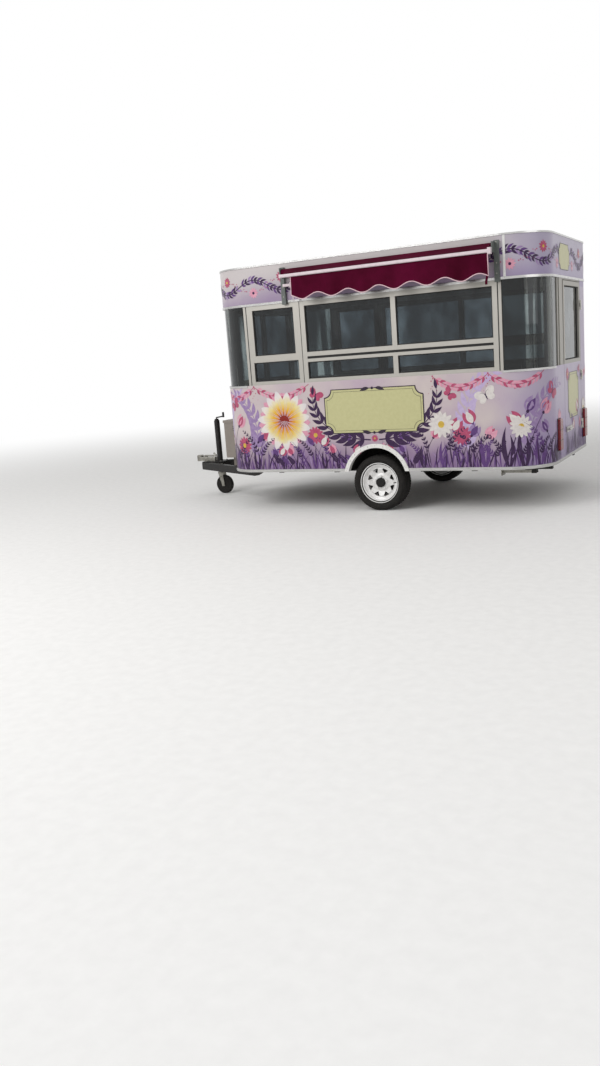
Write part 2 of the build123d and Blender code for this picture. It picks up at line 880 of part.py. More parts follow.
def tyre_outline():
    outer = -wheel_y - tyre_width / 2
    inner = -wheel_y + tyre_width / 2
    flange_y = (rim_edge + rim_lip + tyre_flange_gap, rim_edge + rim_width - rim_lip - tyre_flange_gap)
    seat = bead_radius + tyre_seat_gap
    seat_y = (flange_y[0] + rim_bevel, flange_y[1] - rim_bevel)
    lip = rim_radius + tyre_flange_gap
    side_radius = (rim_radius + wheel_z) / 2
    shoulder = wheel_z - tyre_shoulder[0]
    outside = [
        Line((seat, seat_y[0]), (lip, flange_y[0])),
        ThreePointArc((lip, flange_y[0]), (side_radius, outer), (shoulder, outer + tyre_shoulder[1])),
        ThreePointArc((shoulder, outer + tyre_shoulder[1]), (wheel_z, -wheel_y),
                      (shoulder, inner - tyre_shoulder[1])),
        ThreePointArc((shoulder, inner - tyre_shoulder[1]), (side_radius, inner), (lip, flange_y[1])),
        Line((lip, flange_y[1]), (seat, seat_y[1])),
    ]
    bead_y = (seat_y[0] + tyre_wall, seat_y[1] - tyre_wall)
    inside = [
        Line((seat, seat_y[1]), (seat, bead_y[1])),
        Line((seat, bead_y[1]), (side_radius, inner - tyre_wall)),
        ThreePointArc((side_radius, inner - tyre_wall), (wheel_z - tyre_wall, -wheel_y),
                      (side_radius, outer + tyre_wall)),
        Line((side_radius, outer + tyre_wall), (seat, bead_y[0])),
        Line((seat, bead_y[0]), (seat, seat_y[0])),
    ]
    return make_face(outside + inside)


def wheel_hub():
    hub = rod((0, hub_y, wheel_z), (0, hub_y + hub_length, wheel_z), hub_radius - hub_margin)
    drum_y = hub_y + drum_set_back
    hub += rod((0, drum_y, wheel_z), (0, drum_y + drum_length, wheel_z), drum_radius)
    bore_start = -wheel_y - spindle_end - spindle_end_gap
    bore_end = drum_y + drum_length
    return hub - rod((0, bore_start, wheel_z), (0, bore_end, wheel_z), spindle_radius + spindle_fit)


def wheel(side_name):
    section_plane = Plane(origin=(0, 0, wheel_z), x_dir=(1, 0, 0), z_dir=(0, 0, 1))
    spin_axis = Axis((0, 0, wheel_z), (0, 1, 0))
    rim = revolve(section_plane * rim_outline(), spin_axis)
    rim += revolve(section_plane * disc_outline(), spin_axis)
    for window in spoke_windows():
        rim -= window
    for bolt in wheel_bolts():
        rim += bolt
    cap_y = disc_y + disc_dish
    cap = rod((0, cap_y, wheel_z), (0, cap_y - cap_height, wheel_z), cap_radius)
    cap = fillet(cap.edges().group_by(Axis.Y)[0], cap_round)
    pieces = {
        "wheel_rim_": rim,
        "wheel_tyre_": revolve(section_plane * tyre_outline(), spin_axis),
        "wheel_hub_": Compound(children=[wheel_hub(), cap]),
    }
    if side_name == "far":
        pieces = {name: mirrored(piece) for name, piece in pieces.items()}
    return {name + side_name: piece for name, piece in pieces.items()}


def steady_brackets():
    ear_y = steady_width / 2 + steady_side_gap
    ears_x = (steady_x - steady_ear_half, steady_x + steady_ear_half)
    outer = ear_y + steady_ear
    plate = block(ears_x, (-steady_y - outer, -steady_y + outer),
                  (steady_pivot_z - steady_ear_drop, rail_top_z))
    plate -= block(ears_x, (-steady_y - ear_y, -steady_y + ear_y), (0, rail_top_z - steady_ear))
    pin = rod((steady_x, -steady_y - outer, steady_pivot_z), (steady_x, -steady_y + outer, steady_pivot_z),
              steady_pin)
    bracket = plate + pin
    return [bracket, mirrored(bracket)]


def steady_legs():
    leg_y = (-steady_y - steady_width / 2, -steady_y + steady_width / 2)
    leg = block((steady_x - steady_length, steady_x + steady_heel), leg_y,
                (steady_pivot_z - steady_thickness / 2, steady_pivot_z + steady_thickness / 2))
    leg -= rod((steady_x, leg_y[0], steady_pivot_z), (steady_x, leg_y[1], steady_pivot_z),
               steady_pin + spindle_fit)
    foot_x = steady_x - steady_length
    leg += block((foot_x - steady_foot_sheet, foot_x),
                 (-steady_y - steady_foot / 2, -steady_y + steady_foot / 2),
                 (steady_pivot_z - steady_foot_drop, steady_pivot_z + steady_thickness / 2))
    return {
        "steady_leg_serving": leg,
        "steady_leg_far": mirrored(leg),
    }


def awning_brackets():
    carriers = []
    strip_y = (-half_width - strip_proud - weld_gap, -half_width)
    for x, outward in zip(bracket_x, (-1, 1)):
        x_range = (x, x + bracket_width)
        plate = block(x_range, (-half_width - bracket_reach, -half_width), bracket_z)
        plate -= block(x_range, strip_y, (head_z - weld_gap, head_strip_z[1] + weld_gap))
        inner_x = x + bracket_width if outward < 0 else x
        cheek_y = (roller_y - cheek_half, -half_width - bracket_reach)
        cheek_z = (roller_z - cheek_half, roller_z + cheek_half)
        plate += block((inner_x + outward * cheek_sheet, inner_x), cheek_y, cheek_z)
        carriers.append(plate)
    return Compound(children=carriers)


def canopy_line():
    # The cloth leaves the roller on a tangent and lies on the back edge of the front bar.
    radius = roller_radius + cloth_gap
    bar_point = Vector(bar_y + bar_depth / 2 - bar_round, bar_z + bar_height + cloth_gap, 0)
    centre = Vector(roller_y, roller_z, 0)
    away = bar_point - centre
    turn = math.atan2(away.Y, away.X) - math.acos(radius / away.length)
    start = centre + Vector(radius * math.cos(turn), radius * math.sin(turn), 0)
    normal = Vector(math.cos(turn), math.sin(turn), 0)
    return start, bar_point, normal


def awning():
    roller_x = (bracket_x[0] + bracket_width, bracket_x[1])
    roller = rod((roller_x[0], roller_y, roller_z), (roller_x[1], roller_y, roller_z), roller_radius)
    bar = block(awning_x, (bar_y - bar_depth / 2, bar_y + bar_depth / 2), (bar_z, bar_z + bar_height))
    bar = fillet(bar.edges().filter_by(Axis.X), bar_round)
    start, end, normal = canopy_line()
    lift = normal * canopy_cloth
    points = [(p.X, p.Y) for p in (start, end, end + lift, start + lift)]
    cloth_x = (awning_x[0] + cloth_inset, awning_x[1] - cloth_inset)
    side_plane = Plane(origin=(cloth_x[0], 0, 0), x_dir=(0, 1, 0), z_dir=(1, 0, 0))
    canopy = extrude(side_plane * make_face(Polyline(*points, close=True)), cloth_x[1] - cloth_x[0])
    return {
        "awning_brackets": awning_brackets(),
        "awning_roller": roller,
        "awning_front_bar": bar,
        "awning_canopy": canopy,
        "awning_valance": valance(),
        "awning_arms": folded_arms(),
    }


def valance():
    top = bar_z - cloth_gap
    straight = top - valance_drop
    left = awning_x[0] + valance_insets[0]
    right = awning_x[1] - valance_insets[1]
    y_range = (bar_y - canopy_cloth / 2, bar_y + canopy_cloth / 2)
    sheet = block((left, right), y_range, (straight, top))
    radius = (scallop_pitch ** 2 / 4 + scallop_depth ** 2) / (2 * scallop_depth)
    for index in range(scallop_count):
        middle = awning_x[0] + scallop_start + scallop_pitch * (index + 0.5)
        z = straight + radius - scallop_depth
        bowl = rod((middle, y_range[0], z), (middle, y_range[1], z), radius)
        sheet += bowl & block((left, right), y_range, (straight - scallop_depth, straight))
    return sheet


def folded_arms():
    arms = []
    arm_z = (bar_z + arm_rise, bar_z + arm_rise + arm_section)
    shoulder_z = (arm_z[0] - arm_section, arm_z[0])
    middle = sum(awning_x) / 2
    bar_back = bar_y + bar_depth / 2
    elbow_y = bar_back + arm_section + arm_gap / 2
    back_y = (elbow_y + arm_gap / 2, elbow_y + arm_gap / 2 + arm_section)
    reach = (awning_x[1] - awning_x[0]) / 2 - arm_end_inset
    for side in (-1, 1):
        start = middle + side * arm_parting
        end = middle + side * reach
        arm = block((start, end), (bar_back, bar_back + arm_section), arm_z)
        arm += block((start, end - side * arm_section), back_y, arm_z)
        elbow_x = start + side * arm_section / 2
        arm += rod((elbow_x, elbow_y, arm_z[0] - elbow_cap), (elbow_x, elbow_y, arm_z[1] + elbow_cap),
                   elbow_radius)
        arm += block((end - side * arm_section, end - side * 3 * arm_section), (back_y[0], -half_width),
                     shoulder_z)
        arms.append(arm)
    return Compound(children=arms)


def interior():
    back_y = -half_width + wall_thickness
    z_range = (worktop_z - worktop_thickness, worktop_z)
    reach = (back_y, back_y + worktop_depth)
    top = block(cabinet_x, reach, z_range)
    boards = []
    board_z = (floor_top_z, z_range[0])
    count = cabinet_bays + 1
    step = (cabinet_x[1] - cabinet_x[0] - cabinet_board) / cabinet_bays
    frame = None
    notch = arch_radius + wheel_box_sheet + cabinet_notch_gap
    box_top = arch_z + notch
    for index in range(count):
        x = cabinet_x[0] + index * step
        board = block((x, x + cabinet_board), reach, board_z)
        frame = board if frame is None else frame + board
    base = block(cabinet_x, reach, (floor_top_z + plinth_z, floor_top_z + plinth_z + cabinet_board))
    frame = frame + base
    frame -= block((-notch, notch), (back_y, -wheel_box_y + cabinet_notch_gap), (floor_top_z, box_top))
    return {
        "worktop": top,
        "cabinet_frame": frame,
    }


def lamps():
    lens = block((body_rear_x, body_rear_x + lamp_depth),
                 (-lamp_y - lamp_width / 2, -lamp_y + lamp_width / 2), lamp_z)
    lens = fillet(lens.edges().filter_by(Axis.X), lamp_corner)
    lens = fillet(lens.edges().group_by(Axis.X)[-1], lamp_edge)
    return {"tail_lamps": pair(lens)}


def build():
    nodes = {}
    for make in (lower_walls, rear_corner_panel, fascia, roof, edge_strips, side_windows, front_window,
                 corner_glazing, door, wall_hinges, arch_trims, wheel_boxes, floor, chassis, drawbar,
                 coupling, jockey, jockey_leg, locker, axle, steady_legs, awning, interior, lamps):
        nodes.update(make())
    for side_name in ("serving", "far"):
        nodes.update(wheel(side_name))
    return nodes


os.makedirs("parts", exist_ok=True)
for node_name, node in build().items():
    export_step(place(node), f"parts/{node_name}.step")
print("origin", origin_x, origin_y)
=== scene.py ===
import json
import math
import random
import bpy
from mathutils import Matrix, Vector


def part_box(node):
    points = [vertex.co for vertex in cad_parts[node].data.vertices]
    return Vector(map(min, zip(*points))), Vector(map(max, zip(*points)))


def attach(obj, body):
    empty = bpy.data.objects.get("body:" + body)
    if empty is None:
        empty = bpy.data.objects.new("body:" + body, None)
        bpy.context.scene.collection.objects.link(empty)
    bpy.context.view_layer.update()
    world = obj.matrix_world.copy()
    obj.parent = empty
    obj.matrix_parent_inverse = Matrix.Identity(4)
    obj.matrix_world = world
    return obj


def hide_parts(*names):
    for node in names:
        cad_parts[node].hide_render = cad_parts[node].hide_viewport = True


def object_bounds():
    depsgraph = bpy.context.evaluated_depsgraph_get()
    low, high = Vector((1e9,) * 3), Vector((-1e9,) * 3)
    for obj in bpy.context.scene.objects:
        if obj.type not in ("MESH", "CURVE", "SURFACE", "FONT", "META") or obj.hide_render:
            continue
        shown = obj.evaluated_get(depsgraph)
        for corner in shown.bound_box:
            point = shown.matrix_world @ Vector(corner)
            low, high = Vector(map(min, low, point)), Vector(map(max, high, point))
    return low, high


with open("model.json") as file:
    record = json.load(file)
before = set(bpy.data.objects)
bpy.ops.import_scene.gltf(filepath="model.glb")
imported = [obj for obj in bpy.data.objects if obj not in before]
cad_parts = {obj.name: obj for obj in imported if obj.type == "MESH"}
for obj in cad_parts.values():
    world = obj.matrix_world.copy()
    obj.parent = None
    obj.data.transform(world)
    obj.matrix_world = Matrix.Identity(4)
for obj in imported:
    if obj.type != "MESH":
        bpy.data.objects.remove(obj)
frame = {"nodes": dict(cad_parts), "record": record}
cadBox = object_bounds()
nodes = frame["nodes"]
randomDraw = random.Random(11)
print("frame loaded:", len(nodes), "nodes")

# Places read from the frame, in metres
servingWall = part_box("lower_wall_serving")
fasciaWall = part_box("fascia_serving")
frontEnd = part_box("lower_front_end")
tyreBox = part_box("wheel_tyre_serving")
shell = {
    "front": frontEnd[0].x, "rear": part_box("fascia_rear_end")[1].x,
    "serving": frontEnd[0].y, "far": frontEnd[1].y,
    "corner": frontEnd[1].x - frontEnd[0].x,
    "skirt": servingWall[0].z, "sill": servingWall[1].z,
    "head": fasciaWall[0].z, "top": fasciaWall[1].z,
}
sideRun = shell["rear"] - shell["front"] - 2 * shell["corner"]
endRun = shell["far"] - shell["serving"] - 2 * shell["corner"]
cornerRun = shell["corner"] * math.pi / 2
ringLength = 2 * (sideRun + endRun) + 4 * cornerRun     # once round the body
axleX = (tyreBox[0].x + tyreBox[1].x) / 2
bodyMiddle = (shell["serving"] + shell["far"]) / 2
archPlace = {"z": 0.29, "radius": 0.300}                # the wheel arches, whose middle is over the axle


# Helpers

def hexColour(code):
    # sRGB hex to linear
    channels = [int(code[i:i + 2], 16) / 255 for i in (1, 3, 5)]
    linear = [c / 12.92 if c <= 0.04045 else ((c + 0.055) / 1.055) ** 2.4 for c in channels]
    return (*linear, 1.0)


def addNode(tree, kind, inputs=None, stops=(), **settings):
    # an input is a value, a hex colour, a socket, or a node, which stands for its first live output
    node = tree.nodes.new("ShaderNode" + kind)
    for name, value in settings.items():
        setattr(node, name, value)
    if stops:
        ramp = node.color_ramp
        while len(ramp.elements) < len(stops):
            ramp.elements.new(0.5)
        for element, (position, colour) in zip(ramp.elements, stops):
            element.position = position
            element.color = hexColour(colour)
    for socket, value in (inputs or {}).items():
        if isinstance(value, bpy.types.Node):
            value = next(output for output in value.outputs if output.enabled)
        if isinstance(value, bpy.types.NodeSocket):
            tree.links.new(value, node.inputs[socket])
        else:
            node.inputs[socket].default_value = hexColour(value) if isinstance(value, str) else value
    return node


def newFinish(name):
    material = bpy.data.materials.new(name)
    material.use_nodes = True
    tree = material.node_tree
    tree.nodes.clear()
    return material, tree, addNode(tree, "TexCoord").outputs["Object"]


def closeFinish(material, inputs):
    shader = addNode(material.node_tree, "BsdfPrincipled", inputs)
    addNode(material.node_tree, "OutputMaterial", {"Surface": shader})
    return material


def editMode(action="SELECT"):
    # with no action, what the code has selected stays selected
    bpy.ops.object.mode_set(mode="EDIT")
    if action:
        bpy.ops.mesh.select_all(action=action)


def objectMode():
    bpy.ops.object.mode_set(mode="OBJECT")


def clearSelection():
    if bpy.context.object and bpy.context.object.mode != "OBJECT":
        objectMode()
    bpy.ops.object.select_all(action="DESELECT")


def pick(*pieces):
    clearSelection()
    for piece in pieces:
        piece.select_set(True)
    bpy.context.view_layer.objects.active = pieces[0]


def settle(piece):
    pick(piece)
    bpy.ops.object.transform_apply(location=True, rotation=True, scale=True)
    return piece


def joined(name, pieces):
    pick(*pieces)
    if len(pieces) > 1:
        bpy.ops.object.join()
    piece = bpy.context.object
    piece.name = name
    return settle(piece)


def applyAll(piece):
    pick(piece)
    for modifier in list(piece.modifiers):
        bpy.ops.object.modifier_apply(modifier=modifier.name)


def roundedBlock(low, high, edge, segments=2):
    clearSelection()
    low, high = Vector(low), Vector(high)
    bpy.ops.mesh.primitive_cube_add(size=1, location=(low + high) / 2)
    piece = bpy.context.object
    piece.scale = high - low
    settle(piece)
    editMode()
    bpy.ops.mesh.bevel(offset=edge, segments=segments, affect="EDGES")
    objectMode()
    return piece


def roundBar(start, end, radius, edge, vertices):
    # a bar between two points, its end edges rounded
    clearSelection()
    start, end = Vector(start), Vector(end)
    run = end - start
    bpy.ops.mesh.primitive_cylinder_add(vertices=vertices, radius=radius, depth=run.length,
                                        location=(start + end) / 2,
                                        rotation=run.to_track_quat("Z", "Y").to_euler())
    piece = settle(bpy.context.object)
    axis = run.normalized()
    editMode("DESELECT")
    objectMode()
    for face in piece.data.polygons:
        face.select = abs(face.normal.dot(axis)) > 0.9
    editMode(None)
    bpy.ops.mesh.select_mode(type="FACE")
    bpy.ops.mesh.region_to_loop()
    bpy.ops.mesh.bevel(offset=edge, segments=3, affect="EDGES")
    objectMode()
    return piece


def curveMesh(name, paths, **settings):
    # each path is a list of places with a share of the bevel's radius, and becomes a tube or a ribbon
    data = bpy.data.curves.new(name, "CURVE")
    data.dimensions = "3D"
    for key, value in settings.items():
        setattr(data, key, value)
    for path in paths:
        spline = data.splines.new("POLY")
        spline.points.add(len(path) - 1)
        for point, (spot, radius) in zip(spline.points, path):
            point.co = (*spot, 1)
            point.radius = radius
    piece = bpy.data.objects.new(name, data)
    bpy.context.scene.collection.objects.link(piece)
    pick(piece)
    bpy.ops.object.convert(target="MESH")
    return bpy.context.object


def smooth(piece, angle=35):
    pick(piece)
    bpy.ops.object.shade_smooth_by_angle(angle=math.radians(angle))
    return piece


def dress(piece, slotName, material=None, body="trailer"):
    # the slot's own finish, unless another is given
    piece.data.materials.clear()
    piece.data.materials.append(material or finishes[slotName])
    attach(piece, body)
    return piece


def dressCopies(name, slotName, model, matrices):
    pieces = []
    for matrix in matrices:
        twin = model.copy()
        twin.data = model.data.copy()
        twin.data.transform(matrix)
        bpy.context.scene.collection.objects.link(twin)
        pieces.append(twin)
    bpy.data.objects.remove(model)
    dress(joined(name, pieces), slotName)


def wallPoint(s, z, lift):
    # s runs round the body from the serving wall's front end; lift is the distance off the wall
    s %= ringLength
    heading = 0.0
    place = Vector((shell["front"] + shell["corner"], shell["serving"], z))
    for run in (sideRun, endRun, sideRun, endRun):
        along = Vector((math.cos(heading), math.sin(heading), 0))
        outward = Vector((along.y, -along.x, 0))
        if s <= run:
            return place + along * s + outward * lift
        s -= run
        hub = place + along * run - outward * shell["corner"]
        if s <= cornerRun:
            turn = heading + s / shell["corner"]
            return hub + Vector((math.sin(turn), -math.cos(turn), 0)) * (shell["corner"] + lift)
        s -= cornerRun
        heading += math.pi / 2
        place = hub + Vector((math.sin(heading), -math.cos(heading), 0)) * shell["corner"]
    return place


def sOf(x):
    # distance round the body of a place on the serving wall, given from the axle
    return axleX + x - shell["front"] - shell["corner"]


def rearS(y):
    # the same of a place on the rear end
    return sideRun + cornerRun + y - (shell["serving"] + shell["corner"])


# Camera, floor and light

cameraView = {
    "place": (3.7347, -8.3296, 1.4415),
    "right": (0.88302591, 0.46316198, -0.07580387),
    "up": (-0.02357126, 0.20507986, 0.97846137),
    "back": (0.46873195, -0.86221995, 0.19200814),
    "focal": 914, "photoHeight": 1066,         # photo pixels
    "sensor": 36.0,                            # mm
}
studio = {
    "skyLevel": 0.56,
    "keyPower": 520, "keySize": 6.0, "keyPlace": (-3.5, -8.5, 6.5),
    "fillPower": 70, "fillSize": 5.0, "fillPlace": (8.5, -3.0, 4.0),
    "aim": (0.4, 0.0, 1.1),
    "floorSize": 120.0, "fadeStart": 3.6, "fadeEnd": 14.0,
}
plainWhite = (1, 1, 1, 1)


def makeCamera():
    data = bpy.data.cameras.new("photoCamera")
    data.sensor_fit = "VERTICAL"
    data.sensor_height = cameraView["sensor"]
    data.lens = cameraView["sensor"] * cameraView["focal"] / cameraView["photoHeight"]
    data.clip_end = 500
    camera = bpy.data.objects.new("photoCamera", data)
    turn = Matrix((cameraView["right"], cameraView["up"], cameraView["back"])).transposed().to_4x4()
    camera.matrix_world = Matrix.Translation(cameraView["place"]) @ turn
    bpy.context.scene.collection.objects.link(camera)
    bpy.context.scene.camera = camera
    bpy.context.scene.view_settings.view_transform = "Standard"


def whiteForView(tree):
    # 1 for the rays that are to meet white: those of the camera, off gloss and through glass
    rays = addNode(tree, "LightPath").outputs
    seen = addNode(tree, "Math", {0: rays["Is Camera Ray"], 1: rays["Is Glossy Ray"]}, operation="MAXIMUM")
    return addNode(tree, "Math", {0: seen, 1: rays["Is Transmission Ray"]}, operation="MAXIMUM")


def makeStudio():
    world = bpy.data.worlds.new("studio")
    bpy.context.scene.world = world
    world.use_nodes = True
    tree = world.node_tree
    tree.nodes.clear()
    sky = addNode(tree, "Background", {"Color": plainWhite, "Strength": studio["skyLevel"]})
    white = addNode(tree, "Background", {"Color": plainWhite, "Strength": 1.0})
    both = addNode(tree, "MixShader", {0: whiteForView(tree), 1: sky, 2: white})
    addNode(tree, "OutputWorld", {"Surface": both})
    for name in ("key", "fill"):
        light = bpy.data.lights.new(name + "Light", "AREA")
        light.energy = studio[name + "Power"]
        light.size = studio[name + "Size"]
        lamp = bpy.data.objects.new(name + "Light", light)
        lamp.location = studio[name + "Place"]
        aim = Vector(studio["aim"]) - lamp.location
        lamp.rotation_euler = aim.to_track_quat("-Z", "Y").to_euler()
        bpy.context.scene.collection.objects.link(lamp)


def makeFloor():
    # pale painted concrete, power-floated: matt, with a fine drift in 60 mm blotches
    clearSelection()
    bpy.ops.mesh.primitive_plane_add(size=studio["floorSize"])
    floor = bpy.context.object
    floor.name = "studioFloor"
    material, tree, place = newFinish("palePaintedConcrete")
    grain = addNode(tree, "TexNoise", {"Vector": place, "Scale": 1 / 0.06, "Detail": 4, "Roughness": 0.55})
    colour = addNode(tree, "ValToRGB", {"Fac": grain}, stops=[(0.3, "#EEEDEB"), (0.7, "#F4F3F1")])
    matt = addNode(tree, "BsdfPrincipled", {"Base Color": colour, "Roughness": 0.85})
    white = addNode(tree, "Emission", {"Color": plainWhite, "Strength": 1.0})
    distance = addNode(tree, "VectorMath", {0: place}, operation="LENGTH")
    fade = addNode(tree, "MapRange", {"Value": distance, "From Min": studio["fadeStart"],
                                      "From Max": studio["fadeEnd"]}, interpolation_type="SMOOTHSTEP")
    share = addNode(tree, "Math", {0: fade, 1: whiteForView(tree)}, operation="MULTIPLY")
    both = addNode(tree, "MixShader", {0: share, 1: matt, 2: white})
    addNode(tree, "OutputMaterial", {"Surface": both})
    floor.data.materials.append(material)


makeCamera()
makeStudio()
makeFloor()
print("camera, light and floor made")


# Finishes, in metres. A noise's scale is 1 over the width of a blotch, a wave's 0.314 over its pitch

wrap = {
    "mauve": [(0.25, "#745882"), (0.75, "#8B6F97")],
    "pale": [(0.36, "#B3A0AE"), (0.5, "#BBADB1"), (0.64, "#C2B6B4")],
    "mauveTop": 0.54, "paleFoot": 0.98,        # heights between which the lower print turns pale
    "crown": ("#92809B", "#BDB6B6"), "crownFoot": 2.00, "crownTop": 2.34,
    "lilac": "#9186B0", "lilacShare": 0.55, "lilacRun": 0.55,      # the run before the rear end
    "film": "#6E655F", "filmShare": 0.34, "filmFoot": 0.36, "filmTop": 0.62,
    "inner": [(0.4, "#BDBCB8"), (0.6, "#C7C6C2")], "skin": 0.003,
}


def vinylWrap():
    # printed gloss vinyl on aluminium composite, IOR 1.5 and roughness 0.22 to 0.38: soft reflections on a
    # print that goes from mauve at the skirt to pale grey-pink, and to lilac at the rear
    material, tree, place = newFinish("printedGlossVinyl")
    axes = addNode(tree, "SeparateXYZ", {0: place}).outputs
    # clouds and drift of the print, road film, and waves of the sheet
    cloud, drift, film, waves = (
        addNode(tree, "TexNoise", {"Vector": place, "Scale": 1 / size, "Detail": detail, "Roughness": rough})
        for size, detail, rough in ((0.55, 3, 0.55), (0.16, 5, 0.55), (0.05, 6, 0.7), (0.4, 1, 0.55)))
    waver = addNode(tree, "Math", {0: cloud, 1: 0.30, 2: axes["Z"]}, operation="MULTIPLY_ADD")
    band = addNode(tree, "MapRange", {"Value": waver, "From Min": wrap["mauveTop"],
                                      "From Max": wrap["paleFoot"]}, interpolation_type="SMOOTHSTEP")
    low = addNode(tree, "ValToRGB", {"Fac": drift}, stops=wrap["mauve"])
    high = addNode(tree, "ValToRGB", {"Fac": cloud}, stops=wrap["pale"])
    lower = addNode(tree, "Mix", {0: band, 6: low, 7: high}, data_type="RGBA")
    # the band over the windows goes from mauve at its foot to pale grey at its top
    crown = addNode(tree, "MapRange", {"Value": waver, "From Min": wrap["crownFoot"],
                                       "From Max": wrap["crownTop"]}, interpolation_type="SMOOTHSTEP")
    upper = addNode(tree, "Mix", {0: crown, 6: wrap["crown"][0], 7: wrap["crown"][1]}, data_type="RGBA")
    overHead = addNode(tree, "Math", {0: axes["Z"], 1: shell["head"] - 0.05}, operation="GREATER_THAN")
    both = addNode(tree, "Mix", {0: overHead, 6: lower, 7: upper}, data_type="RGBA")
    ends = addNode(tree, "MapRange", {"Value": axes["X"], "From Min": shell["rear"] - wrap["lilacRun"],
                                      "From Max": shell["rear"] - 0.02, "To Max": wrap["lilacShare"]},
                   interpolation_type="SMOOTHSTEP")
    lilac = addNode(tree, "Mix", {0: ends, 6: both, 7: wrap["lilac"]}, data_type="RGBA")
    foot = addNode(tree, "MapRange", {"Value": axes["Z"], "From Min": wrap["filmFoot"], "To Max": 0.0,
                                      "From Max": wrap["filmTop"], "To Min": wrap["filmShare"]})
    dirt = addNode(tree, "Math", {0: film, 1: foot}, operation="MULTIPLY")
    printed = addNode(tree, "Mix", {0: dirt, 6: lilac, 7: wrap["film"]}, data_type="RGBA")
    # deeper than the skin it is the panel's white inner sheet: the distance from the rounded body's core
    steps = (("SUBTRACT", ((shell["front"] + shell["rear"]) / 2, bodyMiddle, 0)), ("ABSOLUTE", (0, 0, 0)),
             ("SUBTRACT", (sideRun / 2, endRun / 2, 0)), ("MAXIMUM", (0, 0, 0)), ("MULTIPLY", (1, 1, 0)))
    spread = place
    for operation, value in steps:
        spread = addNode(tree, "VectorMath", {0: spread, 1: value}, operation=operation)
    reach = addNode(tree, "VectorMath", {0: spread}, operation="LENGTH")
    outside = addNode(tree, "Math", {0: reach, 1: shell["corner"] - wrap["skin"]}, operation="GREATER_THAN")
    inner = addNode(tree, "ValToRGB", {"Fac": cloud}, stops=wrap["inner"])
    final = addNode(tree, "Mix", {0: outside, 6: inner, 7: printed}, data_type="RGBA")
    gloss = addNode(tree, "MapRange", {"Value": film, "To Min": 0.22, "To Max": 0.38})
    # the sheet's waves, 400 mm long, are drawn some ten times too deep so that they show
    bump = addNode(tree, "Bump", {"Height": waves, "Distance": 0.0035})
    return closeFinish(material, {"Base Color": final, "Roughness": gloss, "IOR": 1.5,
                                  "Specular IOR Level": 0.32, "Normal": bump})


def plainInk(name, light, dark):
    # printed ink under a satin film, roughness 0.32: a little drift in its density, 30 mm across
    material, tree, place = newFinish(name)
    drift = addNode(tree, "TexNoise", {"Vector": place, "Scale": 1 / 0.03, "Detail": 3, "Roughness": 0.55})
    tone = addNode(tree, "ValToRGB", {"Fac": drift}, stops=[(0.35, light), (0.65, dark)])
    return closeFinish(material, {"Base Color": tone, "Roughness": 0.32, "Specular IOR Level": 0.25})


def metalFinish(name, colour, worn, roughness, grain, stretch=(1, 1, 1), depth=0.0002):
    # bare metal, metallic 1, default IOR: grain is its brushing or spangle, stretched as it was rolled
    material, tree, place = newFinish(name)
    turned = addNode(tree, "Mapping", {"Vector": place, "Scale": stretch})
    lines = addNode(tree, "TexNoise", {"Vector": turned, "Scale": 1 / grain, "Detail": 6, "Roughness": 0.65})
    tone = addNode(tree, "ValToRGB", {"Fac": lines}, stops=[(0.3, worn), (0.62, colour)])
    rough = addNode(tree, "MapRange", {"Value": lines, "To Min": roughness * 0.7, "To Max": roughness * 1.4})
    bump = addNode(tree, "Bump", {"Height": lines, "Distance": depth, "Strength": 0.5})
    return closeFinish(material, {"Base Color": tone, "Metallic": 1.0, "Roughness": rough, "Normal": bump})


def paintFinish(name, colour, dust, roughness, speck, dustShare, coat=0.0, shine=0.5):
    # sprayed or powder paint, IOR 1.5: 3 mm orange peel, and dust settled in blotches as wide as speck
    material, tree, place = newFinish(name)
    blot = addNode(tree, "TexNoise", {"Vector": place, "Scale": 1 / speck, "Detail": 6, "Roughness": 0.7})
    share = addNode(tree, "MapRange", {"Value": blot, "From Min": 0.5, "From Max": 0.78, "To Max": dustShare})
    mix = addNode(tree, "Mix", {0: share, 6: colour, 7: dust}, data_type="RGBA")
    rough = addNode(tree, "MapRange", {"Value": blot, "To Min": roughness * 0.8, "To Max": roughness * 1.35})
    peel = addNode(tree, "TexNoise", {"Vector": place, "Scale": 1 / 0.003, "Detail": 2, "Roughness": 0.55})
    bump = addNode(tree, "Bump", {"Height": peel, "Distance": 0.0002})
    return closeFinish(material, {"Base Color": mix, "Roughness": rough, "Coat Weight": coat,
                                  "Specular IOR Level": shine, "Normal": bump})


def tintedGlass(name, dark, pale, streaks, blotch, edge):
    # grey float glass, IOR 1.45, clear: pale patches that run in upright streaks, partly a dust film and
    # partly painted reflections
    material, tree, place = newFinish(name)
    upright = addNode(tree, "Mapping", {"Vector": place, "Scale": (1, 1, streaks)})
    # film carries both the dust and the painted reflections; where it is high, the glass takes the pale tone
    film = addNode(tree, "TexNoise", {"Vector": upright, "Scale": 1 / blotch, "Detail": 2, "Roughness": 0.5})
    tone = addNode(tree, "ValToRGB", {"Fac": film},
                   stops=[(0.32, dark), (0.56 - edge / 2, dark), (0.56 + edge / 2, pale)])
    return closeFinish(material, {"Base Color": tone, "Roughness": 0.0, "Transmission Weight": 1.0,
                                  "IOR": 1.45})


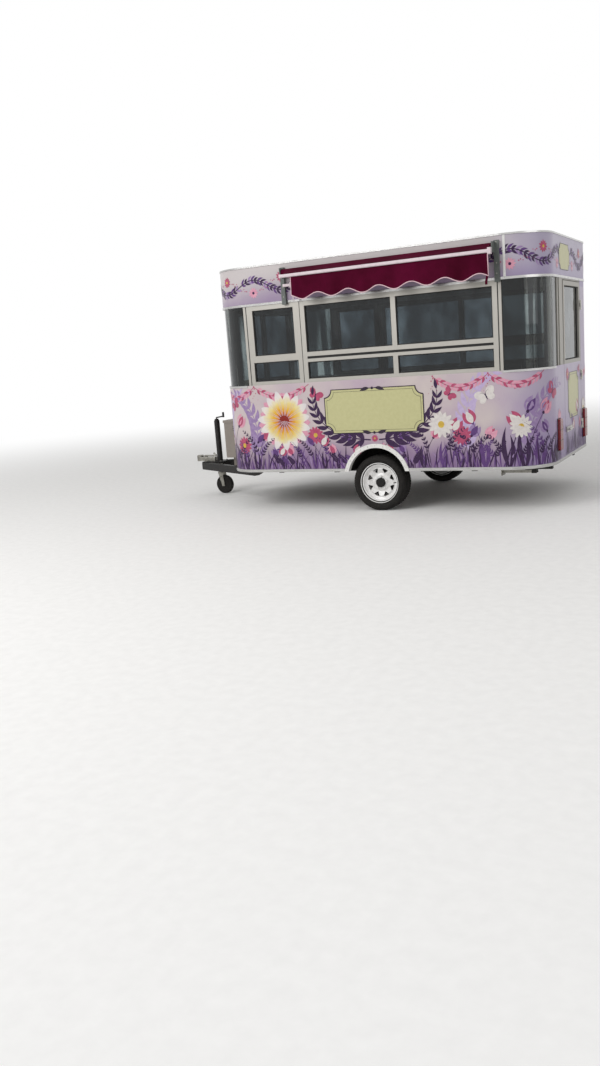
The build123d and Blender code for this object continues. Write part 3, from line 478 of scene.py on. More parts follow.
def wovenAcrylic():
    # solution-dyed acrylic canvas, roughness 0.85: a matt burgundy weave, its threads drawn 3 mm apart
    # instead of 0.5 mm so that they show, faded in wide blotches
    material, tree, place = newFinish("burgundyAcrylicCanvas")
    thread = {"Vector": place, "Scale": 100.0, "Distortion": 0.6, "Detail": 1.0}
    warp, weft = (addNode(tree, "TexWave", thread, bands_direction=direction).outputs["Fac"]
                  for direction in ("X", "Z"))
    weave = addNode(tree, "Math", {0: warp, 1: weft}, operation="MULTIPLY")
    fade = addNode(tree, "TexNoise", {"Vector": place, "Scale": 1 / 0.22, "Detail": 4, "Roughness": 0.55})
    tone = addNode(tree, "ValToRGB", {"Fac": fade}, stops=[(0.3, "#44051D"), (0.7, "#5C0A2D")])
    shade = addNode(tree, "MapRange", {"Value": weave, "To Min": 0.78, "To Max": 1.0})
    mix = addNode(tree, "Mix", {0: 1.0, 6: tone, 7: shade}, data_type="RGBA", blend_type="MULTIPLY")
    bump = addNode(tree, "Bump", {"Height": weave, "Distance": 0.0006})
    return closeFinish(material, {"Base Color": mix, "Roughness": 0.85, "Specular IOR Level": 0.05,
                                  "Sheen Weight": 0.01, "Sheen Roughness": 0.5, "Normal": bump})


def tyreRubber(name):
    # carbon-black rubber, roughness 0.8: matt near-black, greyed by road dust in 15 mm blotches
    material, tree, place = newFinish(name)
    dust = addNode(tree, "TexNoise", {"Vector": place, "Scale": 1 / 0.015, "Detail": 6, "Roughness": 0.7})
    tone = addNode(tree, "ValToRGB", {"Fac": dust}, stops=[(0.35, "#121111"), (0.75, "#2C2926")])
    grit = addNode(tree, "TexNoise", {"Vector": place, "Scale": 1 / 0.004, "Detail": 3, "Roughness": 0.55})
    bump = addNode(tree, "Bump", {"Height": grit, "Distance": 0.0006})
    return closeFinish(material, {"Base Color": tone, "Roughness": 0.8, "Specular IOR Level": 0.25,
                                  "Normal": bump})


def lensAcrylic():
    # moulded red acrylic lens, IOR 1.49 and roughness 0.12: glossy, with ribs 12 mm apart
    material, tree, place = newFinish("redAcrylicLens")
    ribs = addNode(tree, "TexWave", {"Vector": place, "Scale": 26.0}, bands_direction="Z").outputs["Fac"]
    drift = addNode(tree, "TexNoise", {"Vector": place, "Scale": 1 / 0.05, "Detail": 3, "Roughness": 0.55})
    tone = addNode(tree, "ValToRGB", {"Fac": drift}, stops=[(0.3, "#6A0A18"), (0.7, "#820E1E")])
    bump = addNode(tree, "Bump", {"Height": ribs, "Distance": 0.0008, "Strength": 0.6})
    return closeFinish(material, {"Base Color": tone, "Roughness": 0.12, "IOR": 1.49, "Normal": bump})


finishes = {
    # the wrap, and paint from dull undercoat to enamel, each dusted as much as its place gets
    "wrapped_panel": vinylWrap(),
    "roof_sheet": paintFinish("whiteCoatedRoofSheet", "#D6D6D2", "#A5A197", 0.45, 0.22, 0.45),
    "arch_trim": paintFinish("whiteEnamelledSteel", "#DEDDDA", "#9D968D", 0.35, 0.03, 0.6, coat=0.3),
    "wheel_paint": paintFinish("whiteWheelEnamel", "#E2E1E0", "#9A9186", 0.32, 0.025, 0.55, coat=0.4),
    "awning_white": paintFinish("whitePowderCoat", "#CFC2C6", "#A0949A", 0.4, 0.05, 0.5),
    "locker_paint": paintFinish("beigeGreyPowderCoat", "#857D75", "#716A63", 0.5, 0.09, 0.5),
    # the brackets' grey is darkened to match the shade they stand in under the awning: painted shade
    "bracket_grey": paintFinish("greyBracketPaintWithPaintedShade", "#595E5B", "#3F4441", 0.5, 0.02, 0.6),
    "chassis_steel": paintFinish("blackChassisPaint", "#1A1919", "#4A423B", 0.5, 0.03, 0.5, shine=0.3),
    "hub_iron": paintFinish("blackHubPaint", "#121111", "#38342F", 0.5, 0.015, 0.5, shine=0.25),
    "wheel_box": paintFinish("blackWheelBoxPaint", "#131212", "#38332E", 0.8, 0.03, 0.6, shine=0.15),
    # boards with a smooth coated face
    "floor_ply": paintFinish("brownFilmFacedPly", "#4A3A2C", "#2C231C", 0.6, 0.08, 0.6),
    "cabinet_board": paintFinish("greyMelamineBoard", "#8D8D8A", "#6A6966", 0.45, 0.06, 0.4),
    # metals, from a clear sheen on the polished trim to grey spangle on the zinc
    "bright_aluminium": metalFinish("polishedAluminiumTrim", "#C2C1C0", "#A9A8A6", 0.22, 0.02, (0.3, 0.3, 2)),
    "window_aluminium": metalFinish("satinAnodisedAluminium", "#A3A09A", "#9D9A94", 0.45, 0.004,
                                    (0.2, 1, 0.2), 0.00002),
    "hinge_steel": metalFinish("stainlessHingeSteel", "#C9C8C4", "#96938D", 0.35, 0.01),
    "worktop_steel": metalFinish("brushedStainlessSheet", "#B9B9B7", "#8F8F8D", 0.35, 0.01, (0.1, 1, 1)),
    # dull zinc, its tones darkened for the shade under the body where the steadies sit: partly painted shade
    "zinc_plated": metalFinish("dullZincPlateShadeDarkened", "#A19F98", "#6B6861", 0.45, 0.03),
    # the panes' pale patches are painted reflections as well as dust
    "glazing": tintedGlass("greyFloatGlassPaintedReflections", "#555F65", "#8A959B", 0.6, 0.22, 0.22),
    "lamp_lens": lensAcrylic(),
    "tyre": tyreRubber("dustyTyreRubber"),
    "jockey_tyre": tyreRubber("hardJockeyRubber"),
    "awning_cloth": wovenAcrylic(),
}
# finishes of pieces that differ from their slot's own: rubber, plastic and sealant are even and dull
# the curved corner glass: its near-white upright streaks are painted reflections of the bright corner
curvedGlass = tintedGlass("curvedGreyGlassPaintedReflections", "#4C5558", "#CDD3CD", 0.03, 0.07, 0.05)
palePaint = paintFinish("whiteProfilePaint", "#D9D8D6", "#A8A6A2", 0.35, 0.03, 0.4)
rubberSeal = paintFinish("blackGlazingRubber", "#171717", "#37332F", 0.7, 0.02, 0.5)
blackPlastic = paintFinish("blackMouldedPlastic", "#151515", "#3A3835", 0.45, 0.01, 0.4)
sealant = paintFinish("greyRoofSealant", "#8E8D89", "#6C6A66", 0.7, 0.01, 0.5)
whiteTape = paintFinish("palePinkBiasTape", "#D9B9C0", "#B7939C", 0.85, 0.01, 0.5)

for part in frame["record"]["subparts"]:
    piece = nodes[part["node"]]
    piece.data.materials.clear()
    piece.data.materials.append(finishes[part["material_slot"]])
nodes["corner_glass"].data.materials[0] = curvedGlass
print("finishes made")


# Awning cloth

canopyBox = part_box("awning_canopy")
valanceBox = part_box("awning_valance")
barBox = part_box("awning_front_bar")

awning = {
    "clothThickness": 0.0012,
    "canopyGrid": (260, 10), "canopySag": 0.004, "canopyRipple": 0.002,
    "valanceGrid": (300, 16), "valanceRipple": 0.006, "rippleWidth": 0.21,
    "scallopPitch": 0.2865, "scallopDepth": 0.045, "firstLow": 0.208,      # firstLow is from the bar's end
    "pipingRadius": 0.0042, "pipingSteps": 220, "pipingTurn": 0.06,
    "tieGrid": (4, 24), "tieWidth": 0.020, "tieDrop": 0.095, "tieThickness": 0.0016,
    "tiePlace": (-0.016, 0.004, 0.05),         # from the foot of the valance's rear end
    "tieSway": (0.004, 0.003), "tieWaves": (5, 7),
}


def clothGrid(name, grid, place, thickness):
    # place gives the spot of a share across and a share down
    clearSelection()
    bpy.ops.mesh.primitive_grid_add(x_subdivisions=grid[0], y_subdivisions=grid[1], size=1)
    piece = bpy.context.object
    piece.name = name
    for vertex in piece.data.vertices:
        vertex.co = place(vertex.co.x + 0.5, 0.5 - vertex.co.y)
    solid = piece.modifiers.new("cloth", "SOLIDIFY")
    solid.thickness = thickness
    solid.offset = 0
    applyAll(piece)
    return dress(smooth(piece, 60), "awning_cloth")


def makeCanopy():
    # the cloth leaves the top of the roller on a tangent and meets the back of the bar
    top = Vector((0, canopyBox[1].y, canopyBox[1].z))
    foot = Vector((0, canopyBox[0].y, canopyBox[0].z + 0.001))
    left, right = canopyBox[0].x, canopyBox[1].x

    def canopySpot(u, v):
        spot = top.lerp(foot, v)
        swell = math.sin(math.pi * v)
        spot.x = left + (right - left) * u
        spot.z -= awning["canopySag"] * swell
        spot.z += awning["canopyRipple"] * swell * math.sin(u * 41) * math.sin(u * 9 + 1)
        return spot

    piece = clothGrid("canopyCloth", awning["canopyGrid"], canopySpot, awning["clothThickness"])
    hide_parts("awning_canopy")


def valanceDrop(x):
    turns = (x - barBox[0].x - awning["firstLow"]) / awning["scallopPitch"]
    full = valanceBox[1].z - valanceBox[0].z
    return full - awning["scallopDepth"] * (0.5 - 0.5 * math.cos(2 * math.pi * turns))


def valanceSpot(x, share):
    # a place on the cloth, that share of the way down; soft folds open towards the hem
    low, high = valanceBox
    drop = valanceDrop(x) * share
    width = awning["rippleWidth"]
    fold = math.sin(2 * math.pi * x / width) + 0.6 * math.sin(2 * math.pi * x / (width * 0.63) + 1.3)
    lean = -awning["valanceRipple"] * fold * (drop / (high.z - low.z)) ** 1.5
    return x, (low.y + high.y) / 2 + lean, high.z - drop


def makeValance():
    left, right = valanceBox[0].x, valanceBox[1].x
    piece = clothGrid("valanceCloth", awning["valanceGrid"],
                      lambda u, v: valanceSpot(left + (right - left) * u, v), awning["clothThickness"])
    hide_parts("awning_valance")
    hem = makePiping(left, right)


def makePiping(left, right):
    # bias tape sewn round the ends and the scallops
    middle, top = (valanceBox[0].y + valanceBox[1].y) / 2, valanceBox[1].z
    steps = awning["pipingSteps"]
    path = [(left, middle, top), (left, middle, top - awning["pipingTurn"])]
    path += [valanceSpot(left + (right - left) * index / steps, 1) for index in range(steps + 1)]
    path += [(right, middle, top - awning["pipingTurn"]), (right, middle, top)]
    piece = curveMesh("valancePiping", [[(spot, 1.0) for spot in path]], bevel_depth=awning["pipingRadius"],
                      bevel_resolution=2, use_fill_caps=True)
    return dress(smooth(piece, 60), "awning_cloth", whiteTape)


makeCanopy()
makeValance()
print("awning cloth made")


# Tyres

tyre = {
    "steps": 240, "blockSteps": 4, "blockDepth": 0.004, "blockLag": 2, "blockSlant": 60,
    "blocksReach": (0.019, 0.09), "blocksBand": 0.014,     # across, and down from the tread
    "grooves": (0.016, 0.048), "grooveHalf": 0.0035, "grooveDepth": 0.006,     # both sides of the middle
    # the rest of the section's right half, as distances across, with depths under the tread
    "shoulder": ((0.066, 0.001), (0.078, 0.005), (0.086, 0.013), (0.0905, 0.022), (0.0925, 0.0225),
                 (0.0945, 0.032), (0.093, 0.044), (0.0915, 0.0445), (0.088, 0.054), (0.083, 0.060)),
    "lining": ((0.060, 0.018), (0.0, 0.016)),
    # and with radii, where it sits on the rim
    "bead": ((0.0725, 0.1845), (0.0690, 0.168), (0.050, 0.1675), (0.052, 0.190), (0.070, 0.215)),
}


def tyreSection(outer):
    # a closed ring of distances across and radii
    half = [(0.0, outer)]
    floor = outer - tyre["grooveDepth"]
    for groove in tyre["grooves"]:
        for share, radius in ((-1, outer), (-0.6, floor), (0.6, floor), (1, outer)):
            half.append((groove + tyre["grooveHalf"] * share, radius))
    half += [(across, outer - depth) for across, depth in tyre["shoulder"]]
    half += tyre["bead"]
    half += [(across, outer - depth) for across, depth in tyre["lining"]]
    return half + [(-across, radius) for across, radius in reversed(half[1:-1])]


def makeTyre(side):
    low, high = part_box("wheel_tyre_" + side)
    outer = (high.z - low.z) / 2
    section = tyreSection(outer)
    clearSelection()
    bpy.ops.mesh.primitive_circle_add(vertices=len(section), radius=1, location=(0, 0, 0))
    piece = bpy.context.object
    piece.name = "tyre" + side.capitalize()
    for vertex, (across, radius) in zip(piece.data.vertices, section):
        vertex.co = (radius, across, 0)
    editMode()
    bpy.ops.mesh.spin(steps=tyre["steps"], angle=2 * math.pi, center=(0, 0, 0), axis=(0, 1, 0))
    bpy.ops.mesh.select_all(action="SELECT")
    bpy.ops.mesh.remove_doubles(threshold=0.00005)
    bpy.ops.mesh.normals_make_consistent(inside=False)
    objectMode()
    # every fourth step is a cross groove in the shoulder blocks, those of the two sides staggered
    for vertex in piece.data.vertices:
        radius = math.hypot(vertex.co.x, vertex.co.z)
        across = abs(vertex.co.y)
        if radius > outer - tyre["blocksBand"] and tyre["blocksReach"][0] < across < tyre["blocksReach"][1]:
            step = round(math.atan2(vertex.co.z, vertex.co.x) / (2 * math.pi) * tyre["steps"])
            lag = tyre["blockLag"] if vertex.co.y > 0 else 0
            if (step + lag + round(across * tyre["blockSlant"])) % tyre["blockSteps"] == 0:
                vertex.co.x *= 1 - tyre["blockDepth"] / radius
                vertex.co.z *= 1 - tyre["blockDepth"] / radius
    piece.data.transform(Matrix.Translation((low + high) / 2))
    dress(smooth(piece, 32), "tyre", body="wheel_" + side)
    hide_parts("wheel_tyre_" + side)


for side in ("serving", "far"):
    makeTyre(side)
print("tyres made")


# Window seals: black rubber round each pane, placed from the glass

panes = {
    "sealWidth": 0.009, "sealDepth": 0.005,
    # the long walls' panes: x from and to, from the axle, z from and to
    "side": (
        (-1.152, -0.728, 1.448, 1.858), (-1.174, -0.706, 1.212, 1.387),
        (-0.613, 0.2135, 1.450, 1.858), (0.2585, 1.096, 1.450, 1.858),
        (-0.613, 0.2135, 1.212, 1.362), (0.2585, 1.096, 1.212, 1.362),
    ),
    # brush strip in the sash groove and joint lines beside the posts: the same, and how deep they lie
    "lines": (
        (-0.613, 1.096, 1.391, 1.411, 0.009), (-0.665, -0.657, 1.182, 1.898, 0.004),
        (-1.222, -1.214, 1.182, 1.898, 0.0), (1.138, 1.147, 1.182, 1.898, 0.0),
    ),
    "lineProud": 0.0015, "lineDepth": 0.003,
    "frontHeights": (1.212, 1.858), "frontPost": 0.0225, "frontFrame": 0.042,
}


def sealRing(xRange, zRange, place):
    # made upright in the XZ plane, its front towards -y, then put in its place
    clearSelection()
    bpy.ops.mesh.primitive_plane_add(size=1, rotation=(math.pi / 2, 0, 0))
    piece = settle(bpy.context.object)
    for vertex in piece.data.vertices:
        vertex.co.x = xRange[0] if vertex.co.x < 0 else xRange[1]
        vertex.co.z = zRange[0] if vertex.co.z < 0 else zRange[1]
    editMode()
    bpy.ops.mesh.inset(thickness=panes["sealWidth"])
    bpy.ops.mesh.delete(type="FACE")
    bpy.ops.mesh.select_all(action="SELECT")
    bpy.ops.mesh.extrude_region_move(TRANSFORM_OT_translate={"value": (0, panes["sealDepth"], 0)})
    bpy.ops.mesh.select_all(action="SELECT")
    bpy.ops.mesh.normals_make_consistent(inside=False)
    objectMode()
    piece.data.transform(place)
    return piece


def makeSeals():
    glassLow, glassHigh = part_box("window_glass")
    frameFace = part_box("window_frames_serving")[0].y
    rings = []
    for x0, x1, z0, z1 in panes["side"]:
        for y in (glassLow.y - panes["sealDepth"], glassHigh.y):
            rings.append(sealRing((axleX + x0, axleX + x1), (z0, z1), Matrix.Translation((0, y, 0))))
    for x0, x1, z0, z1, sink in panes["lines"]:
        for side in (-1, 1):
            face = frameFace if side < 0 else servingWall[0].y + frontEnd[1].y - frameFace
            near, back = sorted((face - side * (sink - panes["lineProud"]),
                                 face - side * (sink + panes["lineDepth"])))
            rings.append(roundedBlock((axleX + x0, near, z0), (axleX + x1, back, z1), 0.0008, 1))
    dress(joined("windowSeals", rings), "jockey_tyre", rubberSeal)


def makeEndSeals():
    # the front window's two panes and the door's pane
    low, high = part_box("window_frame_front")
    half = (high.y - low.y) / 2
    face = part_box("window_glass")[0].x - panes["sealDepth"]
    place = Matrix.Translation((face, (high.y + low.y) / 2, 0)) @ Matrix.Rotation(-math.pi / 2, 4, "Z")
    rings = []
    for side in (-1, 1):
        span = sorted((side * panes["frontPost"], side * (half - panes["frontFrame"])))
        rings.append(sealRing(span, panes["frontHeights"], place))
    dress(joined("frontSeals", rings), "jockey_tyre", rubberSeal)
    low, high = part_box("door_glass")
    half = (high.y - low.y) / 2
    place = Matrix.Translation((high.x + panes["sealDepth"], (low.y + high.y) / 2, 0))
    piece = sealRing((-half, half), (low.z, high.z), place @ Matrix.Rotation(math.pi / 2, 4, "Z"))
    dress(joined("doorPaneSeal", [piece]), "jockey_tyre", rubberSeal, "rear_door")


makeSeals()
makeEndSeals()
print("window seals made")


# Strips, rivets and joints of the shell

trimming = {
    "rivetRadius": 0.0042, "rivetPitch": 0.15, "rivetRows": (shell["skirt"] + 0.013, shell["head"] + 0.010),
    "archClear": 0.33,                         # no rivets so near the axle
    "screwRadius": 0.0045, "screws": 11, "screwRing": 0.3015, "screwLift": 0.012,
    "screwStart": 20, "screwStep": 14,         # degrees
    "jointX": 1.205, "jointHalf": 0.010, "jointProud": 0.004, "jointEdge": 0.0012,
    "jointFoot": 0.021, "jointTop": 0.010,     # over the windows' head and under the wall's top
    "sillHeight": 0.018, "sillRise": -0.007, "sillProud": 0.006,
    "seamStart": 0.52, "seamEnd": 0.3, "seamPitch": 0.78, "seamWidth": 0.03, "seamInset": 0.06,
    "seamSunk": 0.001, "seamProud": 0.0022, "seamEdge": 0.001,
}


def rivetModel(radius):
    # a flattened dome
    clearSelection()
    bpy.ops.mesh.primitive_uv_sphere_add(segments=12, ring_count=8, radius=radius)
    piece = bpy.context.object
    editMode()
    bpy.ops.mesh.bisect(plane_co=(0, 0, 0), plane_no=(0, 0, -1), clear_outer=True, use_fill=True)
    bpy.ops.mesh.select_all(action="SELECT")
    bpy.ops.transform.resize(value=(1, 1, 0.5), center_override=(0, 0, 0))
    objectMode()
    return smooth(piece, 40)


def wallMatrix(s, z, lift):
    # a frame whose z axis points off the wall
    spot = wallPoint(s, z, lift)
    outward = (wallPoint(s, z, 1.0) - wallPoint(s, z, 0.0)).normalized()
    upward = Vector((0, 0, 1))
    turn = Matrix((upward.cross(outward), upward, outward)).transposed().to_4x4()
    return Matrix.Translation(spot) @ turn


def makeRivets():
    proud = servingWall[0].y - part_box("edge_strips")[0].y
    count = round(ringLength / trimming["rivetPitch"])
    places = []
    for index in range(count):
        s = ringLength * (index + 0.5) / count
        for z in trimming["rivetRows"]:
            nearArch = abs(wallPoint(s, z, 0).x - axleX) < trimming["archClear"] and z < shell["sill"]
            if not nearArch:
                places.append(wallMatrix(s, z, proud))
    dressCopies("stripRivets", "hinge_steel", rivetModel(trimming["rivetRadius"]), places)
    screws = []
    for side in (0, 1):
        for index in range(trimming["screws"]):
            angle = math.radians(trimming["screwStart"] + trimming["screwStep"] * index)
            x = trimming["screwRing"] * math.cos(angle)
            z = archPlace["z"] + trimming["screwRing"] * math.sin(angle)
            screws.append(wallMatrix(sOf(0) + x + side * ringLength / 2, z, trimming["screwLift"]))
    dressCopies("archScrews", "hinge_steel", rivetModel(trimming["screwRadius"]), screws)


def wallBlock(sRange, zRange, lifts, cuts):
    # a block that follows the wall
    clearSelection()
    bpy.ops.mesh.primitive_cube_add(size=1)
    piece = bpy.context.object
    editMode()
    bpy.ops.mesh.subdivide(number_cuts=cuts)
    objectMode()
    for vertex in piece.data.vertices:
        vertex.co = wallPoint(*(start + (end - start) * (share + 0.5)
                                for (start, end), share in zip((sRange, zRange, lifts), vertex.co)))
    return piece


def makeStrips():
    # upright cover strips on the band over the windows, beside the rear corner
    strips = []
    half = trimming["jointHalf"]
    foot, top = shell["head"] + trimming["jointFoot"], shell["top"] - trimming["jointTop"]
    for s in (sOf(trimming["jointX"]), sOf(trimming["jointX"]) - ringLength / 2):
        piece = wallBlock((s - half, s + half), (foot, top), (0, trimming["jointProud"]), 3)
        bevel = piece.modifiers.new("edge", "BEVEL")
        bevel.width = trimming["jointEdge"]
        bevel.segments = 2
        bevel.limit_method = "ANGLE"
        applyAll(piece)
        strips.append(piece)
    dress(joined("bandJoints", strips), "bright_aluminium", palePaint)
    # bright caps under the curved corner glass
    middle = shell["sill"] + trimming["sillRise"]
    half = trimming["sillHeight"] / 2
    strips = [wallBlock((s, s + cornerRun), (middle - half, middle + half), (0, trimming["sillProud"]), 27)
              for s in (sideRun, 2 * (sideRun + cornerRun) + endRun, -cornerRun)]
    dress(joined("sillStrips", strips), "bright_aluminium")


def makeRoofSeams():
    low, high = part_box("roof_panel")
    half, inset = trimming["seamWidth"] / 2, trimming["seamInset"]
    foot, top = high.z - trimming["seamSunk"], high.z + trimming["seamProud"]
    seams = []
    x = low.x + trimming["seamStart"]
    while x < high.x - trimming["seamEnd"]:
        seams.append(roundedBlock((x - half, low.y + inset, foot), (x + half, high.y - inset, top),
                                  trimming["seamEdge"]))
        x += trimming["seamPitch"]
    dress(joined("roofSeams", seams), "roof_sheet", sealant)


# Awning fittings

fittings = {
    "capRight": (0.030, 0.040, 0.052), "capLeft": (0.016, 0.038, 0.034),
    "gearBox": (0.050, 0.045, 0.046), "gearPlace": (-0.672, -1.020, 2.046),
    "capEdge": 0.005, "gearEdge": 0.006, "smallEdge": 0.002,
    "carrier": ((-0.11, -0.006, -0.012), (0.01, 0.004, 0.012)),    # its corners, from the gear's back
    "rodRadius": 0.007, "rodFoot": 1.905,
    "boltRadius": 0.006, "boltInset": 0.020, "boltFace": 0.976, "boltHeights": (1.95, 2.03, 2.19),
}


def makeAwningFittings():
    # caps on the bar's ends, and the gear with its rod eye and carrier
    low, high = barBox
    middleY, middleZ = (low.y + high.y) / 2, (low.z + high.z) / 2
    pieces = []
    for face, size in ((high.x, fittings["capRight"]), (low.x, fittings["capLeft"])):
        half = Vector(size) / 2
        front = max(middleY - half.y, cadBox[0].y + 0.0005)
        pieces.append(roundedBlock((face - half.x, front, middleZ - half.z),
                                   (face + half.x, middleY + half.y, middleZ + half.z),
                                   fittings["capEdge"], 3))
    x, y, z = fittings["gearPlace"]
    place = Vector((axleX + x, bodyMiddle + y, z))
    half = Vector(fittings["gearBox"]) / 2
    pieces.append(roundedBlock(place - half, place + half, fittings["gearEdge"], 3))
    pieces.append(roundBar(place - Vector((0, 0, half.z)), (place.x, place.y, fittings["rodFoot"]),
                           fittings["rodRadius"], fittings["smallEdge"], 20))
    carrier = [place + Vector((0, half.y, 0)) + Vector(corner) for corner in fittings["carrier"]]
    pieces.append(roundedBlock(*carrier, fittings["smallEdge"]))
    dress(smooth(joined("awningFittings", pieces)), "awning_white")
    # bolts through the brackets' feet
    low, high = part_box("awning_brackets")
    turn = Matrix.Rotation(math.pi / 2, 4, "X")
    spots = [Matrix.Translation((x, bodyMiddle - fittings["boltFace"], z)) @ turn
             for x in (low.x + fittings["boltInset"], high.x - fittings["boltInset"])
             for z in fittings["boltHeights"]]
    dressCopies("bracketBolts", "zinc_plated", rivetModel(fittings["boltRadius"]), spots)


def makeTie():
    # the tie that rolls the valance up, hanging at its rear end
    low, high = valanceBox
    x, y, z = Vector((high.x, (low.y + high.y) / 2, low.z)) + Vector(awning["tiePlace"])

    def tieSpot(u, v):
        aside, out = (sway * math.sin(v * waves)
                      for sway, waves in zip(awning["tieSway"], awning["tieWaves"]))
        return x + (u - 0.5) * awning["tieWidth"] + aside, y + out, z - awning["tieDrop"] * v

    clothGrid("valanceTie", awning["tieGrid"], tieSpot, awning["tieThickness"])


makeRivets()
makeStrips()
makeRoofSeams()
makeAwningFittings()
makeTie()
print("shell strips and awning fittings made")


# Small fittings: lamps, locker, hitch and valves

smallParts = {
    "sunk": 0.001,                             # how deep a fitting sits in what it stands on
    "lampHalf": 0.054, "lampPlate": 0.004, "lampRim": 0.006, "lampEdge": 0.0018, "lampBars": (0.088, 0.176),
    "lampBarHalf": 0.002, "lampBarProud": 0.0008, "lampBarBack": 0.01,
    "slots": 3, "slotSize": (0.062, 0.008), "slotPitch": 0.018, "slotTop": 0.07,
    "slotProud": 0.0012, "slotEdge": 0.001,
    "latchShares": (0.22, 0.78), "latchHalf": 0.022, "latchDrops": (0.085, 0.035),
    "latchProud": 0.007, "latchEdge": 0.003,
    "boltRadius": 0.010, "boltHeight": 0.008, "boltInsets": (0.035, 0.030, 0.030),      # front, rear, sides
    "valveRadius": 0.0042, "valveReach": 0.150, "valveInset": 0.030, "valveRun": (-0.012, 0.026),
}


def boltModel(radius, height):
    clearSelection()
    bpy.ops.mesh.primitive_cylinder_add(vertices=6, radius=radius, depth=height, location=(0, 0, height / 2))
    piece = settle(bpy.context.object)
    editMode()
    bpy.ops.mesh.bevel(offset=height * 0.16, segments=1, affect="EDGES")
    objectMode()
    return piece


def makeLampPlates():
    # back plates and the bars between the lamps' fields
    low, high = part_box("tail_lamps")
    half, rim, face = smallParts["lampHalf"], smallParts["lampRim"], shell["rear"]
    proud, barHalf = smallParts["lampBarProud"], smallParts["lampBarHalf"]
    plates = []
    for y in (low.y + half, high.y - half):
        plates.append(roundedBlock((face - smallParts["sunk"], y - half - rim, low.z - rim),
                                   (face + smallParts["lampPlate"], y + half + rim, high.z + rim),
                                   smallParts["lampEdge"]))
        for rise in smallParts["lampBars"]:
            z = low.z + rise
            plates.append(roundedBlock(
                (face + smallParts["lampBarBack"], y - half - proud, z - barHalf),
                (high.x + proud, y + half + proud, z + barHalf), proud))
    dress(joined("lampPlates", plates), "jockey_tyre", blackPlastic)


def makeLockerDetails():
    low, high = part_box("locker_box")
    x = (low.x + high.x) / 2
    length, tall = smallParts["slotSize"]
    proud = smallParts["slotProud"]
    slots = []
    for y in (low.y, high.y):
        for index in range(smallParts["slots"]):
            z = high.z - smallParts["slotTop"] - index * smallParts["slotPitch"]
            slots.append(roundedBlock((x - length / 2, y - proud, z - tall / 2),
                                      (x + length / 2, y + proud, z + tall / 2), smallParts["slotEdge"]))
    dress(joined("lockerVents", slots), "jockey_tyre", blackPlastic)
    half, (foot, top) = smallParts["latchHalf"], smallParts["latchDrops"]
    latches = []
    for share in smallParts["latchShares"]:
        y = low.y + (high.y - low.y) * share
        latches.append(roundedBlock((low.x - smallParts["latchProud"], y - half, high.z - foot),
                                    (low.x + smallParts["sunk"], y + half, high.z - top),
                                    smallParts["latchEdge"]))
    dress(joined("lockerLatches", latches), "zinc_plated")


def makeHitchBolts():
    low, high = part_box("drawbar_tip_plate")
    front, rear, side = smallParts["boltInsets"]
    spots = [Matrix.Translation((x, y, high.z)) for x in (low.x + front, high.x - rear)
             for y in (low.y + side, high.y - side)]
    bolt = boltModel(smallParts["boltRadius"], smallParts["boltHeight"])
    dressCopies("hitchBolts", "zinc_plated", bolt, spots)


def makeValves():
    # snap-in rubber tyre valves
    for side, inward in (("serving", 1), ("far", -1)):
        low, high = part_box("wheel_rim_" + side)
        face = low.y if inward > 0 else high.y
        middle = (low + high) / 2
        base = Vector((middle.x + smallParts["valveReach"], face + inward * smallParts["valveInset"],
                       middle.z))
        run = Vector((smallParts["valveRun"][0], -inward * smallParts["valveRun"][1], 0))
        stem = roundBar(base, base + run, smallParts["valveRadius"], 0.001, 16)
        stem.name = "tyreValve" + side.capitalize()
        dress(smooth(stem), "jockey_tyre", blackPlastic, "wheel_" + side)


makeLampPlates()
makeLockerDetails()
makeHitchBolts()
makeValves()
print("small fittings made")


# Printed artwork: daisies, tulips, grasses, leafy branches, butterflies and empty plaques. A stroke is a list
# of (s, z) points and their half widths, drawn flat, trimmed to its panel and then laid on the wall

bigDaisy = {
    "x": -0.90, "z": 0.84, "petalLength": 0.285, "petalWidth": 0.088, "petals": 15, "turn": 0.1,
    "eyeRadius": 0.052, "seeds": 34, "tones": [(0.30, "#93291F"), (0.38, "#C8742A"), (0.50, "#D9A93A"),
                                               (0.68, "#DCCB8C"), (0.84, "#DBD5CE"), (1.0, "#D2CCCE")],
}


def petalFinish():
    # the big printed daisy: near-white petals that run through yellow to a red eye, on both sides of the body
    material, tree, place = newFinish("petalInk")
    flat = addNode(tree, "VectorMath", {0: place, 1: (1, 0, 1)}, operation="MULTIPLY")
    middle = axleX + bigDaisy["x"]
    reach = [addNode(tree, "VectorMath", {0: flat, 1: (x, 0, bigDaisy["z"])}, operation="DISTANCE")
             for x in (middle, shell["front"] + shell["rear"] - middle)]
    nearest = addNode(tree, "Math", {0: reach[0], 1: reach[1]}, operation="MINIMUM")
    drift = addNode(tree, "TexNoise", {"Vector": place, "Scale": 1 / 0.05, "Detail": 3, "Roughness": 0.55})
    waver = addNode(tree, "Math", {0: drift, 1: 0.08, 2: nearest}, operation="MULTIPLY_ADD")
    share = addNode(tree, "Math", {0: waver, 1: 0.31}, operation="DIVIDE")
    tone = addNode(tree, "ValToRGB", {"Fac": share}, stops=bigDaisy["tones"])
    return closeFinish(material, {"Base Color": tone, "Roughness": 0.32, "Specular IOR Level": 0.25})


